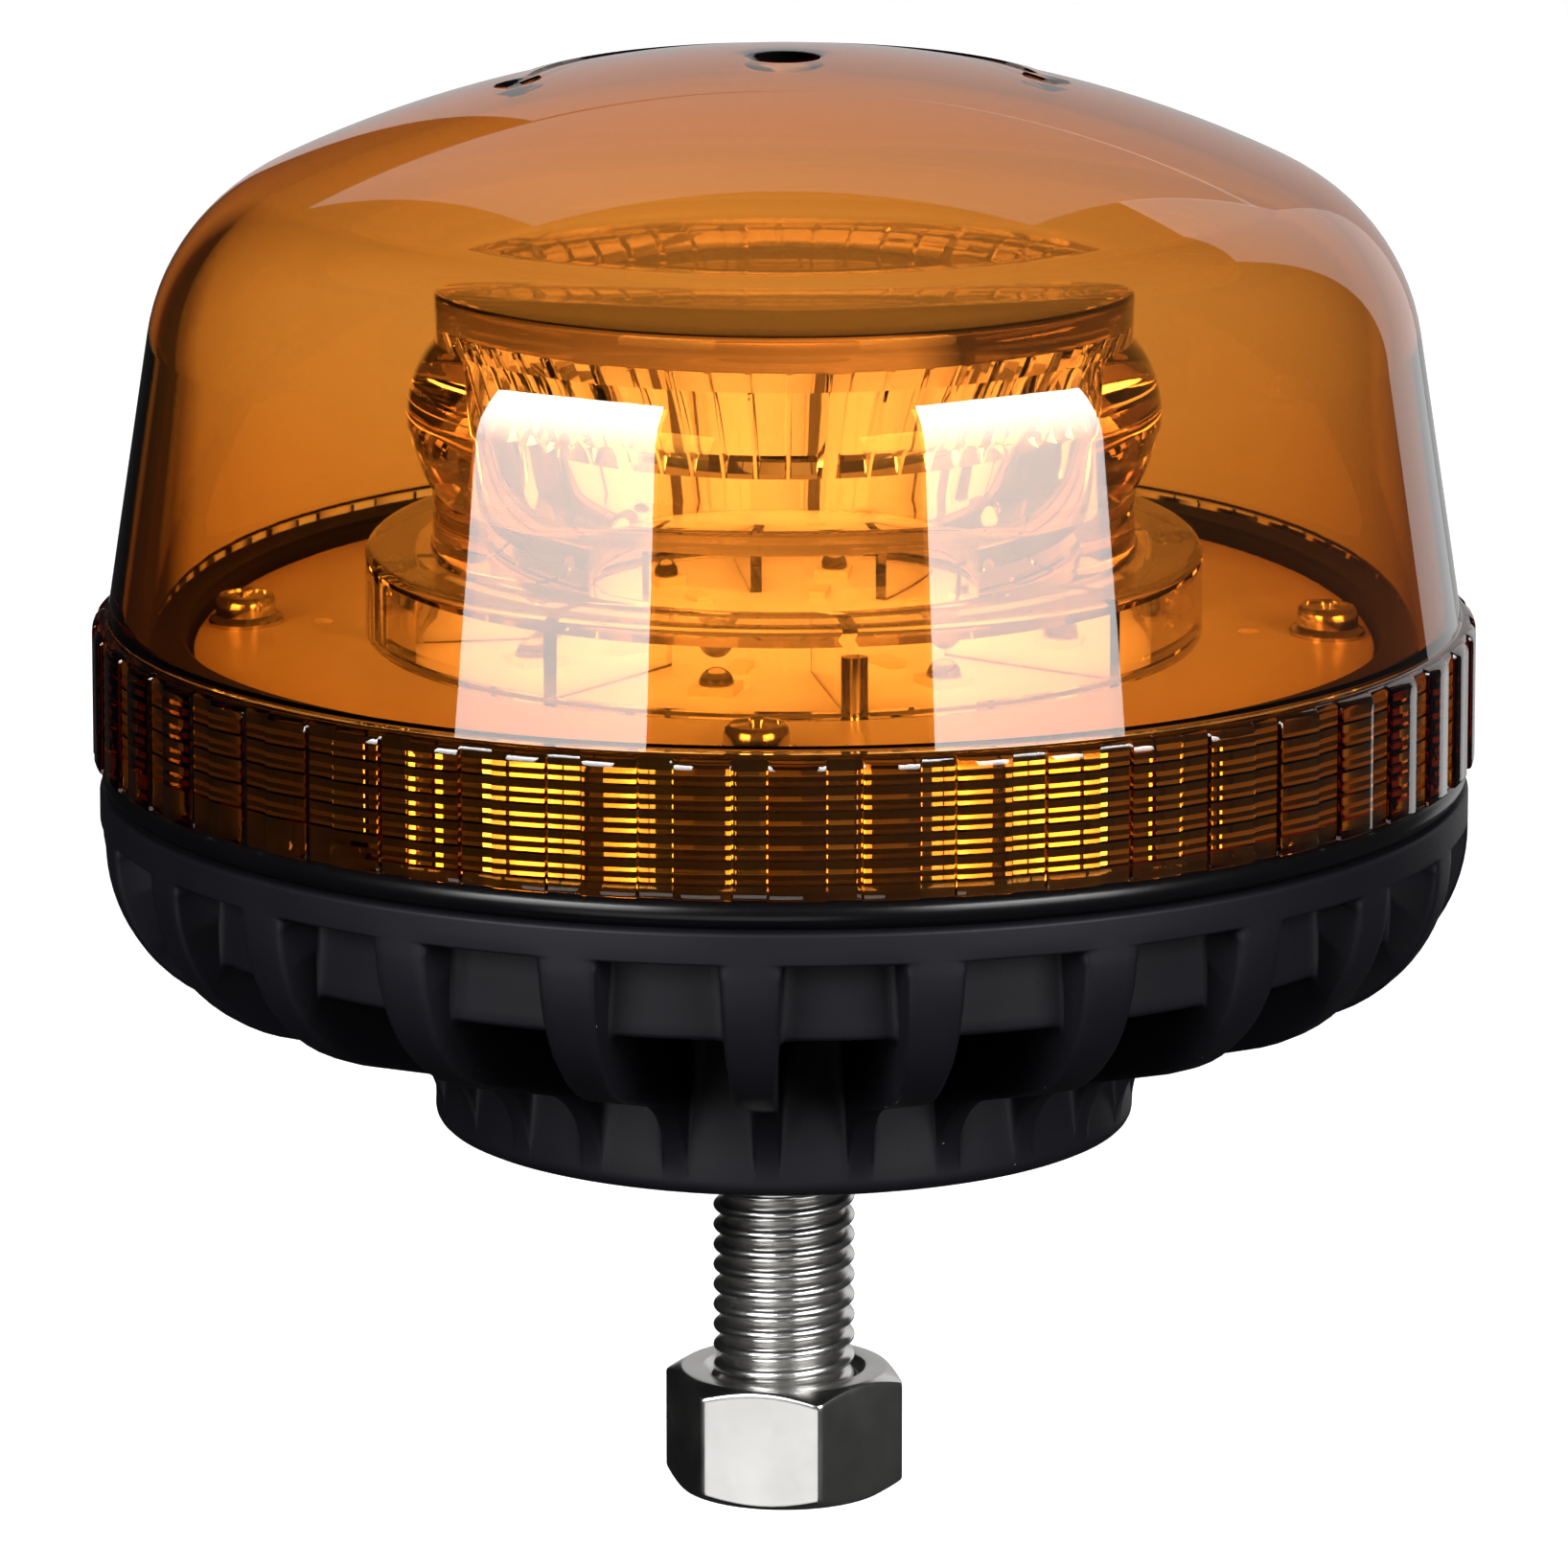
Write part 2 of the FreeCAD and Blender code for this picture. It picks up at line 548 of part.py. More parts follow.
def optic_body():
    """The clear optic turned as one body: foot, neck, bulge, top disc and the funnel inside."""
    funnel_foot = OPTIC_CEILING - (FUNNEL_R - OPTIC_EYE_R) * FUNNEL_RISE
    outline = Outline(OPTIC_FOOT_BORE_R, BOARD_TOP).line(OPTIC_FOOT_R, BOARD_TOP)
    outline.arc((OPTIC_FOOT_R - OPTIC_FOOT_EDGE, OPTIC_FOOT_TOP - OPTIC_FOOT_EDGE), OPTIC_FOOT_EDGE, 0, 90)
    outline.line(OPTIC_NECK_R, OPTIC_FOOT_TOP).line(OPTIC_NECK_R, OPTIC_NECK_TOP)
    outline.bow((OPTIC_NECK_R + OPTIC_BULGE, OPTIC_BULGE_Z), (OPTIC_DISC_R, OPTIC_DISC_FOOT))
    outline.arc((OPTIC_DISC_R - OPTIC_DISC_EDGE, OPTIC_TOP - OPTIC_DISC_EDGE), OPTIC_DISC_EDGE, 0, 90)
    outline.line(0, OPTIC_TOP).line(0, OPTIC_CEILING).line(FUNNEL_R, OPTIC_CEILING)
    outline.line(OPTIC_EYE_R, funnel_foot).line(OPTIC_EYE_R, OPTIC_CELL_TOP)
    return outline.line(OPTIC_FOOT_BORE_R, OPTIC_CELL_TOP).spin()


def optic_tooth():
    """One facet that stands out of the funnel and runs up it to the disc."""
    slope = math.radians(FUNNEL_SLOPE)
    low = OPTIC_CEILING - TOOTH_HEIGHT
    low_r = FUNNEL_R - TOOTH_HEIGHT / FUNNEL_RISE
    bevel_r = low_r + TOOTH_DEPTH * (math.cos(slope) - math.sin(slope))
    bevel_z = low + TOOTH_DEPTH * (math.sin(slope) + math.cos(slope))
    top = OPTIC_CEILING + OVERRUN
    top_r = bevel_r + (top - bevel_z) / FUNNEL_RISE
    root = OVERRUN * math.sin(slope)
    outline = Outline(low_r, low).line(bevel_r, bevel_z).line(top_r, top).line(FUNNEL_R, top)
    tooth = outline.line(FUNNEL_R + root, OPTIC_CEILING).line(low_r + root, low).spin(TOOTH_SPAN)
    return turned(tooth, FRONT - TOOTH_SPAN / 2)


def optic_teeth():
    """A row of teeth over each LED, with a wider gap over each web."""
    first = LED_TURN - TOOTH_ANGLE * (TEETH_PER_CELL - 1) / 2
    row = [first + TOOTH_ANGLE * k for k in range(TEETH_PER_CELL)]
    return [tooth for degrees in row for tooth in ring_of(optic_tooth(), LED_COUNT, degrees)]


def optic_webs():
    """Webs that part the cells over the LEDs, standing on the board."""
    inner, outer = OPTIC_EYE_R, OPTIC_FOOT_BORE_R + OVERRUN
    web = block((OPTIC_WEB, outer - inner, OPTIC_INLET + OVERRUN), BOARD_TOP)
    return ring_of(moved(web, at((inner + outer) / 2, 0)), LED_COUNT, OPTIC_TURN)


def optic_bumps():
    """A round lens under the body, over each LED."""
    low = OPTIC_CELL_TOP - OPTIC_BUMP_FOOT
    root = OPTIC_CELL_TOP + OVERRUN
    outline = Outline(0, low - OPTIC_BUMP_R).arc((0, low), OPTIC_BUMP_R, -90, 0)
    lens = outline.line(OPTIC_BUMP_R, root).line(0, root).spin()
    return ring_of(moved(lens, at(LED_CIRCLE_R, 0)), LED_COUNT, LED_TURN)


def ring_optic():
    pilot = cylinder(OPTIC_SCREW_D / 2 + PRESS_GAP, 0, OPTIC_SCREW_GRIP + OPTIC_SCREW_D / 2)
    pilots = [moved(pilot, point) for point in optic_screw_points(BOARD_TOP)]
    inside = optic_teeth() + optic_webs() + optic_bumps()
    return optic_body().fuse(inside).removeSplitter().cut(pilots)


def optic_screws():
    length = BOARD_THICK + OPTIC_SCREW_GRIP
    screw = upside_down(pan_screw(OPTIC_SCREW_D, length, OPTIC_SCREW_HEAD_D, OPTIC_SCREW_HEAD))
    return Part.makeCompound([moved(screw, point) for point in optic_screw_points(BOARD_BOTTOM)])


def led_packages():
    package = block((LED_SIZE, LED_SIZE, LED_THICK), BOARD_TOP)
    return Part.makeCompound(ring_of(moved(package, at(LED_CIRCLE_R, 0)), LED_COUNT, LED_TURN))


def led_domes():
    dome = Part.makeSphere(LED_DOME_D / 2, FreeCAD.Vector(), FreeCAD.Vector(0, 0, 1), 0, 90, 360)
    seat = at(LED_CIRCLE_R, 0, BOARD_TOP + LED_THICK)
    return Part.makeCompound(ring_of(moved(dome, seat), LED_COUNT, LED_TURN))


def led_resistors():
    chip = block(RESISTOR_SIZE, BOARD_TOP)
    return Part.makeCompound(ring_of(moved(chip, at(RESISTOR_CIRCLE_R, 0)), LED_COUNT, LED_TURN))


def under_board(shape, place):
    """Hangs a shape, made with its foot at height zero, under the board."""
    return moved(upside_down(shape), FreeCAD.Vector(place[0], place[1], BOARD_BOTTOM))


def bevelled(shape, bevel):
    """The shape with the edges of its topmost face bevelled."""
    top = max(shape.Faces, key=lambda face: face.CenterOfMass.z)
    return shape.makeChamfer(bevel, top.Edges)


def power_inductor():
    body = block(INDUCTOR_SIZE, 0)
    uprights = [e for e in body.Edges if abs(e.tangentAt(e.FirstParameter).z) > 0.9]
    return under_board(body.makeFillet(INDUCTOR_CORNER, uprights), INDUCTOR_PLACE)


def driver_chip():
    return under_board(bevelled(block(CHIP_SIZE, 0), CHIP_BEVEL), CHIP_PLACE)


def power_diodes():
    diode = bevelled(block(DIODE_SIZE, 0), DIODE_BEVEL)
    return Part.makeCompound([under_board(diode, place) for place in DIODE_PLACES])


def bulk_capacitors():
    can = cylinder(CAPACITOR_D / 2, 0, CAPACITOR_HEIGHT)
    rim = max(can.Edges, key=lambda edge: edge.CenterOfMass.z)
    can = can.makeFillet(CAPACITOR_EDGE, [rim])
    return Part.makeCompound([under_board(can, place) for place in CAPACITOR_PLACES])


def lead_terminal():
    width, depth, height = TERMINAL_SIZE
    body = block(TERMINAL_SIZE, 0)
    mouth = Part.makeCylinder(TERMINAL_HOLE_D / 2, depth / 2, FreeCAD.Vector(0, 0, height / 2),
                              FreeCAD.Vector(0, 1, 0))
    pitch = width / TERMINAL_WAYS
    first = -(TERMINAL_WAYS - 1) / 2
    mouths = [moved(mouth, FreeCAD.Vector((first + k) * pitch, 0, 0)) for k in range(TERMINAL_WAYS)]
    return under_board(body.cut(mouths), TERMINAL_PLACE)


PIECES = (
    base_housing, mounting_bolt, bolt_seal, bolt_keeper, keeper_screws, cable_grommet, mounting_nut,
    lens_dome, lens_seal, led_board, board_screws, ring_optic, optic_screws, led_packages, led_domes,
    led_resistors, power_inductor, driver_chip, power_diodes, bulk_capacitors, lead_terminal,
)


def main():
    os.makedirs("parts", exist_ok=True)
    for piece in PIECES:
        piece().exportStep("parts/" + piece.__name__ + ".step")


main()
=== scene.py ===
import logging
import math
from collections.abc import Callable
from dataclasses import dataclass
from enum import Enum

import bmesh
import bpy
import numpy as np
from mathutils import Matrix, Vector


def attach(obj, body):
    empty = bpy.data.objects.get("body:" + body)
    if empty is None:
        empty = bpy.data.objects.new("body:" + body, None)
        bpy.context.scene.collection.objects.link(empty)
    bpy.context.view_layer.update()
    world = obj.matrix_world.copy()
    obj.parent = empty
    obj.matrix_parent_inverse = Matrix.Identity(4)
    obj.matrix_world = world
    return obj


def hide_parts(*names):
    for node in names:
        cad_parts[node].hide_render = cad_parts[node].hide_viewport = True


# Amber LED warning beacon with a screw-on dome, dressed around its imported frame.
# Sizes are in millimetres and become metres when a mesh is made. +Z is up and the front is -Y.

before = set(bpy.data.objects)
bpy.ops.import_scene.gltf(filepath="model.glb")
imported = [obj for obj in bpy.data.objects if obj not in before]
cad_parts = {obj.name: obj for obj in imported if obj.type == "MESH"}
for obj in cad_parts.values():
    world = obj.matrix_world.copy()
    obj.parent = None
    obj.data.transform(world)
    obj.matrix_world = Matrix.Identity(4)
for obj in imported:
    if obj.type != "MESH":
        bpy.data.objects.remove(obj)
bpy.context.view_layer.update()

MM = 0.001
WELD = 1e-6             # metres within which points of a mesh are one
TINY = 1e-9             # keeps a division from failing at zero
FRONT = -90.0           # the front's angle from +X, in degrees
SLOPE_MATCH = 20.0      # degrees within which a face is part of an exact outline
SPAN = ("From Min", "From Max", "To Min", "To Max")     # inputs of a node that maps one range to another
LOG = logging.getLogger("beacon")

Profile = list[tuple[float, float]]
Colour = tuple[float, float, float, float]


class Body(Enum):
    """The bodies that a piece can ride on."""

    BASE = "base"
    SEAL = "seal"
    LENS = "lens"
    NUT = "nut"


def linear(code: str) -> Colour:
    """Turns an sRGB hex colour to linear values.

    Args:
        code: A colour such as "#1c1c20".

    Returns:
        Red, green, blue and an alpha of one.
    """
    parts = [int(code[k:k + 2], 16) / 255 for k in (1, 3, 5)]
    red, green, blue = [p / 12.92 if p <= 0.04045 else ((p + 0.055) / 1.055) ** 2.4 for p in parts]
    return red, green, blue, 1.0


def add_node(tree: bpy.types.NodeTree, kind: str, inputs: dict | None = None,
             **settings: object) -> bpy.types.Node:
    """Adds a node to a tree with its settings, values and links.

    Args:
        tree: Tree of a material, a world or a shape.
        kind: Blender's name for the node.
        inputs: Value or linked socket for each input, by name or place.
        settings: Properties of the node.

    Returns:
        The new node.
    """
    node = tree.nodes.new(kind)
    for name, value in settings.items():
        setattr(node, name, value)
    for name, value in (inputs or {}).items():
        if isinstance(value, bpy.types.NodeSocket):
            tree.links.new(value, node.inputs[name])
        else:
            node.inputs[name].default_value = value
    return node


@dataclass(frozen=True)
class Finish:
    """A surface finish: its name, main colour and roughness."""

    name: str
    colour: str
    roughness: float

    def material(self) -> bpy.types.Material:
        """The finish as a material, made when it is first asked for.

        Returns:
            The material, which all pieces of this finish share.
        """
        made = bpy.data.materials.get(self.name)
        if made is None:
            made = bpy.data.materials.new(self.name)
            made.use_nodes = True
            made.node_tree.nodes.clear()
            self.build(made.node_tree)
        return made

    def build(self, tree: bpy.types.NodeTree) -> None:
        """Fills the material's node tree."""
        raise NotImplementedError


@dataclass(frozen=True)
class Moulded(Finish):
    """Moulded plastic, rubber or pressed ceramic, with a fine grain, uneven tone and a little dust."""

    tone: str               # second tone of its soft patches
    grain: float            # width of the grain, drawn as coarse as it needs to show
    relief: float           # height of the grain
    patch: float = 9.0      # width of the soft patches
    dust: float = 0.0       # how strongly dust shows
    dust_colour: str = "#8f8f96"
    dust_spacing: float = 4.0
    dust_size: float = 0.1
    shine: float = 0.5      # strength of its mirror-like part
    spread: float = 0.15    # share by which the grain varies the roughness
    bump: float = 0.6       # how strongly the grain turns the light

    def build(self, tree: bpy.types.NodeTree) -> None:
        """Mixes two tones, scatters dust and roughens the face with the grain.

        Args:
            tree: The material's node tree.
        """
        place = add_node(tree, "ShaderNodeTexCoord").outputs["Object"]
        grain = add_node(tree, "ShaderNodeTexNoise", {
            "Vector": place, "Scale": 1 / (self.grain * MM), "Detail": 2.0})
        patches = add_node(tree, "ShaderNodeTexNoise", {
            "Vector": place, "Scale": 1 / (self.patch * MM), "Detail": 3.0})
        tint = add_node(tree, "ShaderNodeMix", {
            0: patches.outputs[0], 6: linear(self.colour), 7: linear(self.tone)}, data_type="RGBA")
        colour = tint.outputs[2]
        if self.dust:
            cells = add_node(tree, "ShaderNodeTexVoronoi", {
                "Vector": place, "Scale": 1 / (self.dust_spacing * MM), "Randomness": 1.0})
            share = self.dust_size / self.dust_spacing
            speck = add_node(tree, "ShaderNodeMapRange", {
                "Value": cells.outputs["Distance"], "From Min": share, "From Max": share / 2,
                "To Max": self.dust})
            dusted = add_node(tree, "ShaderNodeMix", {
                0: speck.outputs[0], 6: colour, 7: linear(self.dust_colour)}, data_type="RGBA")
            colour = dusted.outputs[2]
        rough = add_node(tree, "ShaderNodeMapRange", {
            "Value": grain.outputs[0], "To Min": self.roughness * (1.0 - self.spread),
            "To Max": self.roughness * (1.0 + self.spread)})
        bump = add_node(tree, "ShaderNodeBump", {
            "Strength": self.bump, "Distance": self.relief * MM, "Height": grain.outputs[0]})
        shader = add_node(tree, "ShaderNodeBsdfPrincipled", {
            "Base Color": colour, "Roughness": rough.outputs[0], "Normal": bump.outputs[0],
            "Specular IOR Level": self.shine})
        add_node(tree, "ShaderNodeOutputMaterial", {"Surface": shader.outputs[0]})


@dataclass(frozen=True)
class Clear(Finish):
    """Clear or tinted moulding: light bends through its wall, and its tint deepens with thickness."""

    ior: float
    density: float          # absorption per metre
    passing: str = "#f9f9f9"  # what each face lets a straight shadow ray keep
    ripple: float = 14.0    # width of the mould's faint waves
    wave: float = 0.002     # height of those waves

    def build(self, tree: bpy.types.NodeTree) -> None:
        """Glass with a tinted inside, which lets straight light through to what it covers.

        Args:
            tree: The material's node tree.
        """
        place = add_node(tree, "ShaderNodeTexCoord").outputs["Object"]
        waves = add_node(tree, "ShaderNodeTexNoise", {
            "Vector": place, "Scale": 1 / (self.ripple * MM), "Detail": 1.0})
        bump = add_node(tree, "ShaderNodeBump", {
            "Strength": 1.0, "Distance": self.wave * MM, "Height": waves.outputs[0]})
        glass = add_node(tree, "ShaderNodeBsdfPrincipled", {
            "Base Color": linear("#ffffff"), "Roughness": self.roughness, "IOR": self.ior,
            "Transmission Weight": 1.0, "Normal": bump.outputs[0]})
        straight = add_node(tree, "ShaderNodeBsdfTransparent", {"Color": linear(self.passing)})
        ray = add_node(tree, "ShaderNodeLightPath").outputs["Is Shadow Ray"]
        face = add_node(tree, "ShaderNodeMixShader", {0: ray, 1: glass.outputs[0], 2: straight.outputs[0]})
        inside = add_node(tree, "ShaderNodeVolumeAbsorption", {
            "Color": linear(self.colour), "Density": self.density})
        add_node(tree, "ShaderNodeOutputMaterial", {"Surface": face.outputs[0], "Volume": inside.outputs[0]})


@dataclass(frozen=True)
class Metal(Finish):
    """Bare or plated metal with fine marks that run one way."""

    mark: float = 0.12      # spacing of the marks
    reach: tuple[float, float, float] = (1.0, 1.0, 1.0)  # how far the marks run along x, y and z
    depth: float = 0.002    # depth of the marks
    wear: float = 5.0       # width of its worn patches
    spread: float = 0.4     # share by which wear varies the roughness
    bump: float = 0.5       # how strongly the marks turn the light

    def build(self, tree: bpy.types.NodeTree) -> None:
        """Metal whose roughness and face vary with wear and with the marks left by its making.

        Args:
            tree: The material's node tree.
        """
        place = add_node(tree, "ShaderNodeTexCoord").outputs["Object"]
        along = add_node(tree, "ShaderNodeMapping", {"Vector": place, "Scale": [1 / k for k in self.reach]})
        marks = add_node(tree, "ShaderNodeTexNoise", {
            "Vector": along.outputs[0], "Scale": 1 / (self.mark * MM), "Detail": 3.0})
        wear = add_node(tree, "ShaderNodeTexNoise", {
            "Vector": place, "Scale": 1 / (self.wear * MM), "Detail": 3.0})
        rough = add_node(tree, "ShaderNodeMapRange", {
            "Value": wear.outputs[0], "To Min": self.roughness * (1.0 - self.spread),
            "To Max": self.roughness * (1.0 + self.spread)})
        bump = add_node(tree, "ShaderNodeBump", {
            "Strength": self.bump, "Distance": self.depth * MM, "Height": marks.outputs[0]})
        shader = add_node(tree, "ShaderNodeBsdfPrincipled", {
            "Base Color": linear(self.colour), "Metallic": 1.0, "Roughness": rough.outputs[0],
            "Normal": bump.outputs[0]})
        add_node(tree, "ShaderNodeOutputMaterial", {"Surface": shader.outputs[0]})


# Injection-moulded amber polycarbonate, polished: a deep clear orange, darker where the wall is seen
# edge on.
AMBER = Clear(
    "amber polycarbonate, polished", "#f1cf60", 0.02, ior=1.585, density=750.0, passing="#e6e6e6")
# Moulded clear acrylic, polished: faintly warm in its thick parts, with sharp bright edges.
ACRYLIC = Clear(
    "clear acrylic, polished", "#ffe0c4", 0.01, ior=1.49, density=20.0, ripple=9.0, wave=0.001)
# Cast optical silicone: clear and soft-looking.
SILICONE = Clear("clear silicone, cast", "#fff6d8", 0.08, ior=1.41, density=60.0)
# Glass-filled black polyamide, spark-eroded mould: near black, matt, with specks of dust.
BLACK_NYLON = Moulded(
    "black polyamide, eroded grain", "#0b0b0f", 0.5, tone="#121218", grain=0.3, relief=0.012, dust=0.5,
    shine=0.165)
# Black nitrile rubber from a polished mould: black, with a soft wet gloss.
SEAL_RUBBER = Moulded(
    "black nitrile rubber, polished mould", "#050506", 0.24, tone="#09090b", grain=0.5, relief=0.004,
    shine=0.22)
# Black EPDM rubber: dull black.
GROMMET_RUBBER = Moulded(
    "black EPDM rubber, matt", "#121214", 0.65, tone="#1a1a1c", grain=0.25, relief=0.01)
# White solder mask on a glass-fibre board: bright white with a soft gloss.
WHITE_MASK = Moulded(
    "white solder mask", "#e4e2dc", 0.34, tone="#f2f1ec", grain=0.4, relief=0.004, patch=14.0)
# White alumina of LED packages and chip resistors: warm white, satin.
LED_CERAMIC = Moulded(
    "white alumina ceramic", "#d8d2c0", 0.4, tone="#e6e0cf", grain=0.2, relief=0.003, patch=2.0)
# Black epoxy of chips and diodes: dark grey, faintly grained.
BLACK_EPOXY = Moulded(
    "black epoxy, moulded", "#1d1d1f", 0.42, tone="#27272a", grain=0.15, relief=0.006, patch=3.0)
# Sintered ferrite: dull dark grey.
FERRITE = Moulded(
    "grey ferrite, sintered", "#3a3a3c", 0.6, tone="#47474a", grain=0.3, relief=0.015, patch=4.0)
# Green polyamide of a screw terminal: mid green with a soft gloss.
GREEN_NYLON = Moulded(
    "green polyamide, moulded", "#2c7a43", 0.4, tone="#36884e", grain=0.3, relief=0.008, patch=5.0)
# Rolled and machined stainless steel: bright grey with fine lengthwise marks.
STAINLESS = Metal(
    "stainless steel, machined", "#cfcecc", 0.24, mark=0.15, reach=(1.0, 1.0, 8.0), depth=0.0005)
# Zinc-plated steel: bright silver with a faint mottle.
ZINC = Metal("zinc-plated steel, bright", "#d9d6cf", 0.16, mark=0.2, depth=0.001)
# Drawn aluminium can: pale grey, satin.
ALUMINIUM = Metal("aluminium, drawn can", "#cfd0d2", 0.3, mark=0.1, reach=(1.0, 1.0, 10.0))


def arc(centre: tuple[float, float], radius: float, start: float, end: float, steps: int) -> Profile:
    """Points of a round run in the half plane of radius and height, from start to end in degrees.

    Args:
        centre: Radius and height of the arc's centre.
        radius: The arc's own radius.
        start: Angle of the first point.
        end: Angle of the last point.
        steps: How many points, both ends counted.

    Returns:
        The points in order.
    """
    angles = np.radians(np.linspace(start, end, steps))
    return [(centre[0] + radius * math.cos(a), centre[1] + radius * math.sin(a)) for a in angles]


def spaced(points: Profile, count: int) -> np.ndarray:
    """Points set evenly along a run, its first end counted and its last left out.

    Args:
        points: The run's corners.
        count: How many points to set.

    Returns:
        Array of radius and height.
    """
    run = np.array(points, float)
    lengths = np.concatenate([[0.0], np.cumsum(np.linalg.norm(np.diff(run, axis=0), axis=1))])
    where = np.linspace(0.0, lengths[-1], count, endpoint=False)
    return np.stack([np.interp(where, lengths, run[:, k]) for k in (0, 1)], axis=1)


def upright(profile: Profile | np.ndarray, degrees: float | np.ndarray) -> np.ndarray:
    """Sets a profile of radius and height at an angle from the front.

    Args:
        profile: Points of radius and height.
        degrees: Angle from the front, to the right seen from the front, for all points or for each.

    Returns:
        Array of points in space.
    """
    turn = np.radians(FRONT + degrees)
    r, z = np.array(profile, float).T
    return np.stack([r * np.cos(turn), r * np.sin(turn), z], axis=1)


def welded(mesh: bpy.types.Mesh) -> bpy.types.Mesh:
    """Joins points that coincide and turns the faces outwards.

    Args:
        mesh: The mesh to mend, which is changed in place.

    Returns:
        The same mesh.
    """
    solid = bmesh.new()
    solid.from_mesh(mesh)
    bmesh.ops.remove_doubles(solid, verts=solid.verts, dist=WELD)
    bmesh.ops.dissolve_degenerate(solid, edges=solid.edges, dist=WELD)
    bmesh.ops.recalc_face_normals(solid, faces=solid.faces)
    solid.to_mesh(mesh)
    solid.free()
    return mesh


def quads(name: str, columns: np.ndarray, loop: bool) -> bpy.types.Mesh:
    """Spans four-sided faces between neighbouring columns of points.

    Args:
        name: The mesh's name.
        columns: Points by column and row, in millimetres.
        loop: Whether a column's last point joins its first.

    Returns:
        The mesh, not yet welded.
    """
    count, rows = columns.shape[:2]
    here, up = np.meshgrid(np.arange(count - 1), np.arange(rows if loop else rows - 1), indexing="ij")
    this, over = here * rows, (up + 1) % rows
    faces = np.stack([this + up, this + rows + up, this + rows + over, this + over], axis=-1)
    mesh = bpy.data.meshes.new(name)
    mesh.from_pydata((columns.reshape(-1, 3) * MM).tolist(), [], faces.reshape(-1, 4).tolist())
    return mesh


def lathed(name: str, profile: Profile, steps: int, loop: bool = True) -> bpy.types.Mesh:
    """A shape turned about the axis.

    Args:
        name: The mesh's name.
        profile: Outline of radius and height.
        steps: How many columns make a full turn.
        loop: Whether the outline closes on itself.

    Returns:
        The welded mesh.
    """
    columns = np.stack([upright(profile, k * 360.0 / steps) for k in range(steps + 1)])
    return welded(quads(name, columns, loop))


def joined(meshes: list[bpy.types.Mesh]) -> bpy.types.Mesh:
    """Puts several meshes into the first one.

    Args:
        meshes: The meshes to join.

    Returns:
        The first mesh, which then holds them all.
    """
    solid = bmesh.new()
    for mesh in meshes:
        solid.from_mesh(mesh)
    solid.to_mesh(meshes[0])
    solid.free()
    return meshes[0]


def evaluated(holder: bpy.types.Object) -> bpy.types.Mesh:
    """Turns an object with modifiers into a plain mesh and removes the object.

    Args:
        holder: The object.

    Returns:
        The mesh that its modifiers give.
    """
    shapes = bpy.context.evaluated_depsgraph_get()
    mesh = bpy.data.meshes.new_from_object(holder.evaluated_get(shapes))
    bpy.data.objects.remove(holder)
    return mesh


def held(mesh: bpy.types.Mesh) -> bpy.types.Object:
    """Makes a passing object that holds a mesh while modifiers work on it.

    Args:
        mesh: The mesh to hold.

    Returns:
        The object.
    """
    holder = bpy.data.objects.new(mesh.name + "_blank", mesh)
    bpy.context.scene.collection.objects.link(holder)
    return holder


def grown(mesh: bpy.types.Mesh, tree: bpy.types.NodeTree, **sizes: object) -> bpy.types.Mesh:
    """Runs a node tree on a mesh.

    Args:
        mesh: The shape that the tree starts from.
        tree: Geometry node tree.
        sizes: The tree's inputs, with spaces of their names written as underscores.

    Returns:
        The plain mesh that the tree gives.
    """
    holder = held(mesh)
    modifier = holder.modifiers.new("grow", "NODES")
    modifier.node_group = tree
    for item in tree.interface.items_tree:
        if item.in_out == "INPUT" and item.name.replace(" ", "_") in sizes:
            modifier[item.identifier] = sizes[item.name.replace(" ", "_")]
    return welded(evaluated(holder))


def drilled(mesh: bpy.types.Mesh, cutter: bpy.types.Mesh) -> bpy.types.Mesh:
    """Cuts one closed mesh out of another.

    Args:
        mesh: The piece.
        cutter: The shape to take out of it.

    Returns:
        The cut piece.
    """
    holder, tool = held(mesh), held(cutter)
    modifier = holder.modifiers.new("drill", "BOOLEAN")
    modifier.operation = "DIFFERENCE"
    modifier.solver = "EXACT"
    modifier.object = tool
    result = evaluated(holder)
    bpy.data.objects.remove(tool)
    return result


def show(mesh: bpy.types.Mesh, name: str, finish: Finish, body: Body,
         stands_for: tuple[str, ...] = (), crease: float = 35.0) -> bpy.types.Object:
    """Makes a finished piece of a mesh and sets it on its body.

    Args:
        mesh: The piece's shape.
        name: The piece's name.
        finish: What it is made of.
        body: The body that it rides on.
        stands_for: Frame nodes that it takes the place of.
        crease: Angle in degrees from which an edge is sharp.

    Returns:
        The piece.
    """
    mesh.materials.clear()
    mesh.materials.append(finish.material())
    mesh.shade_smooth()
    mesh.set_sharp_from_angle(angle=math.radians(crease))
    piece = bpy.data.objects.new(name, mesh)
    bpy.context.scene.collection.objects.link(piece)
    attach(piece, body.value)
    if stands_for:
        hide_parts(*stands_for)
    triangles = sum(len(face.vertices) - 2 for face in mesh.polygons)
    LOG.info("%s on %s: %s, %d triangles", name, body.value, finish.name, triangles)
    return piece


def read_all(items: bpy.types.bpy_prop_collection, name: str, width: int) -> np.ndarray:
    """Reads one property of all items of a mesh.

    Args:
        items: The mesh's points, corners or faces.
        name: The property.
        width: How many values it has.

    Returns:
        A row for each item.
    """
    values = np.empty(len(items) * width, float if width > 1 else int)
    items.foreach_get(name, values)
    return values.reshape(-1, width)


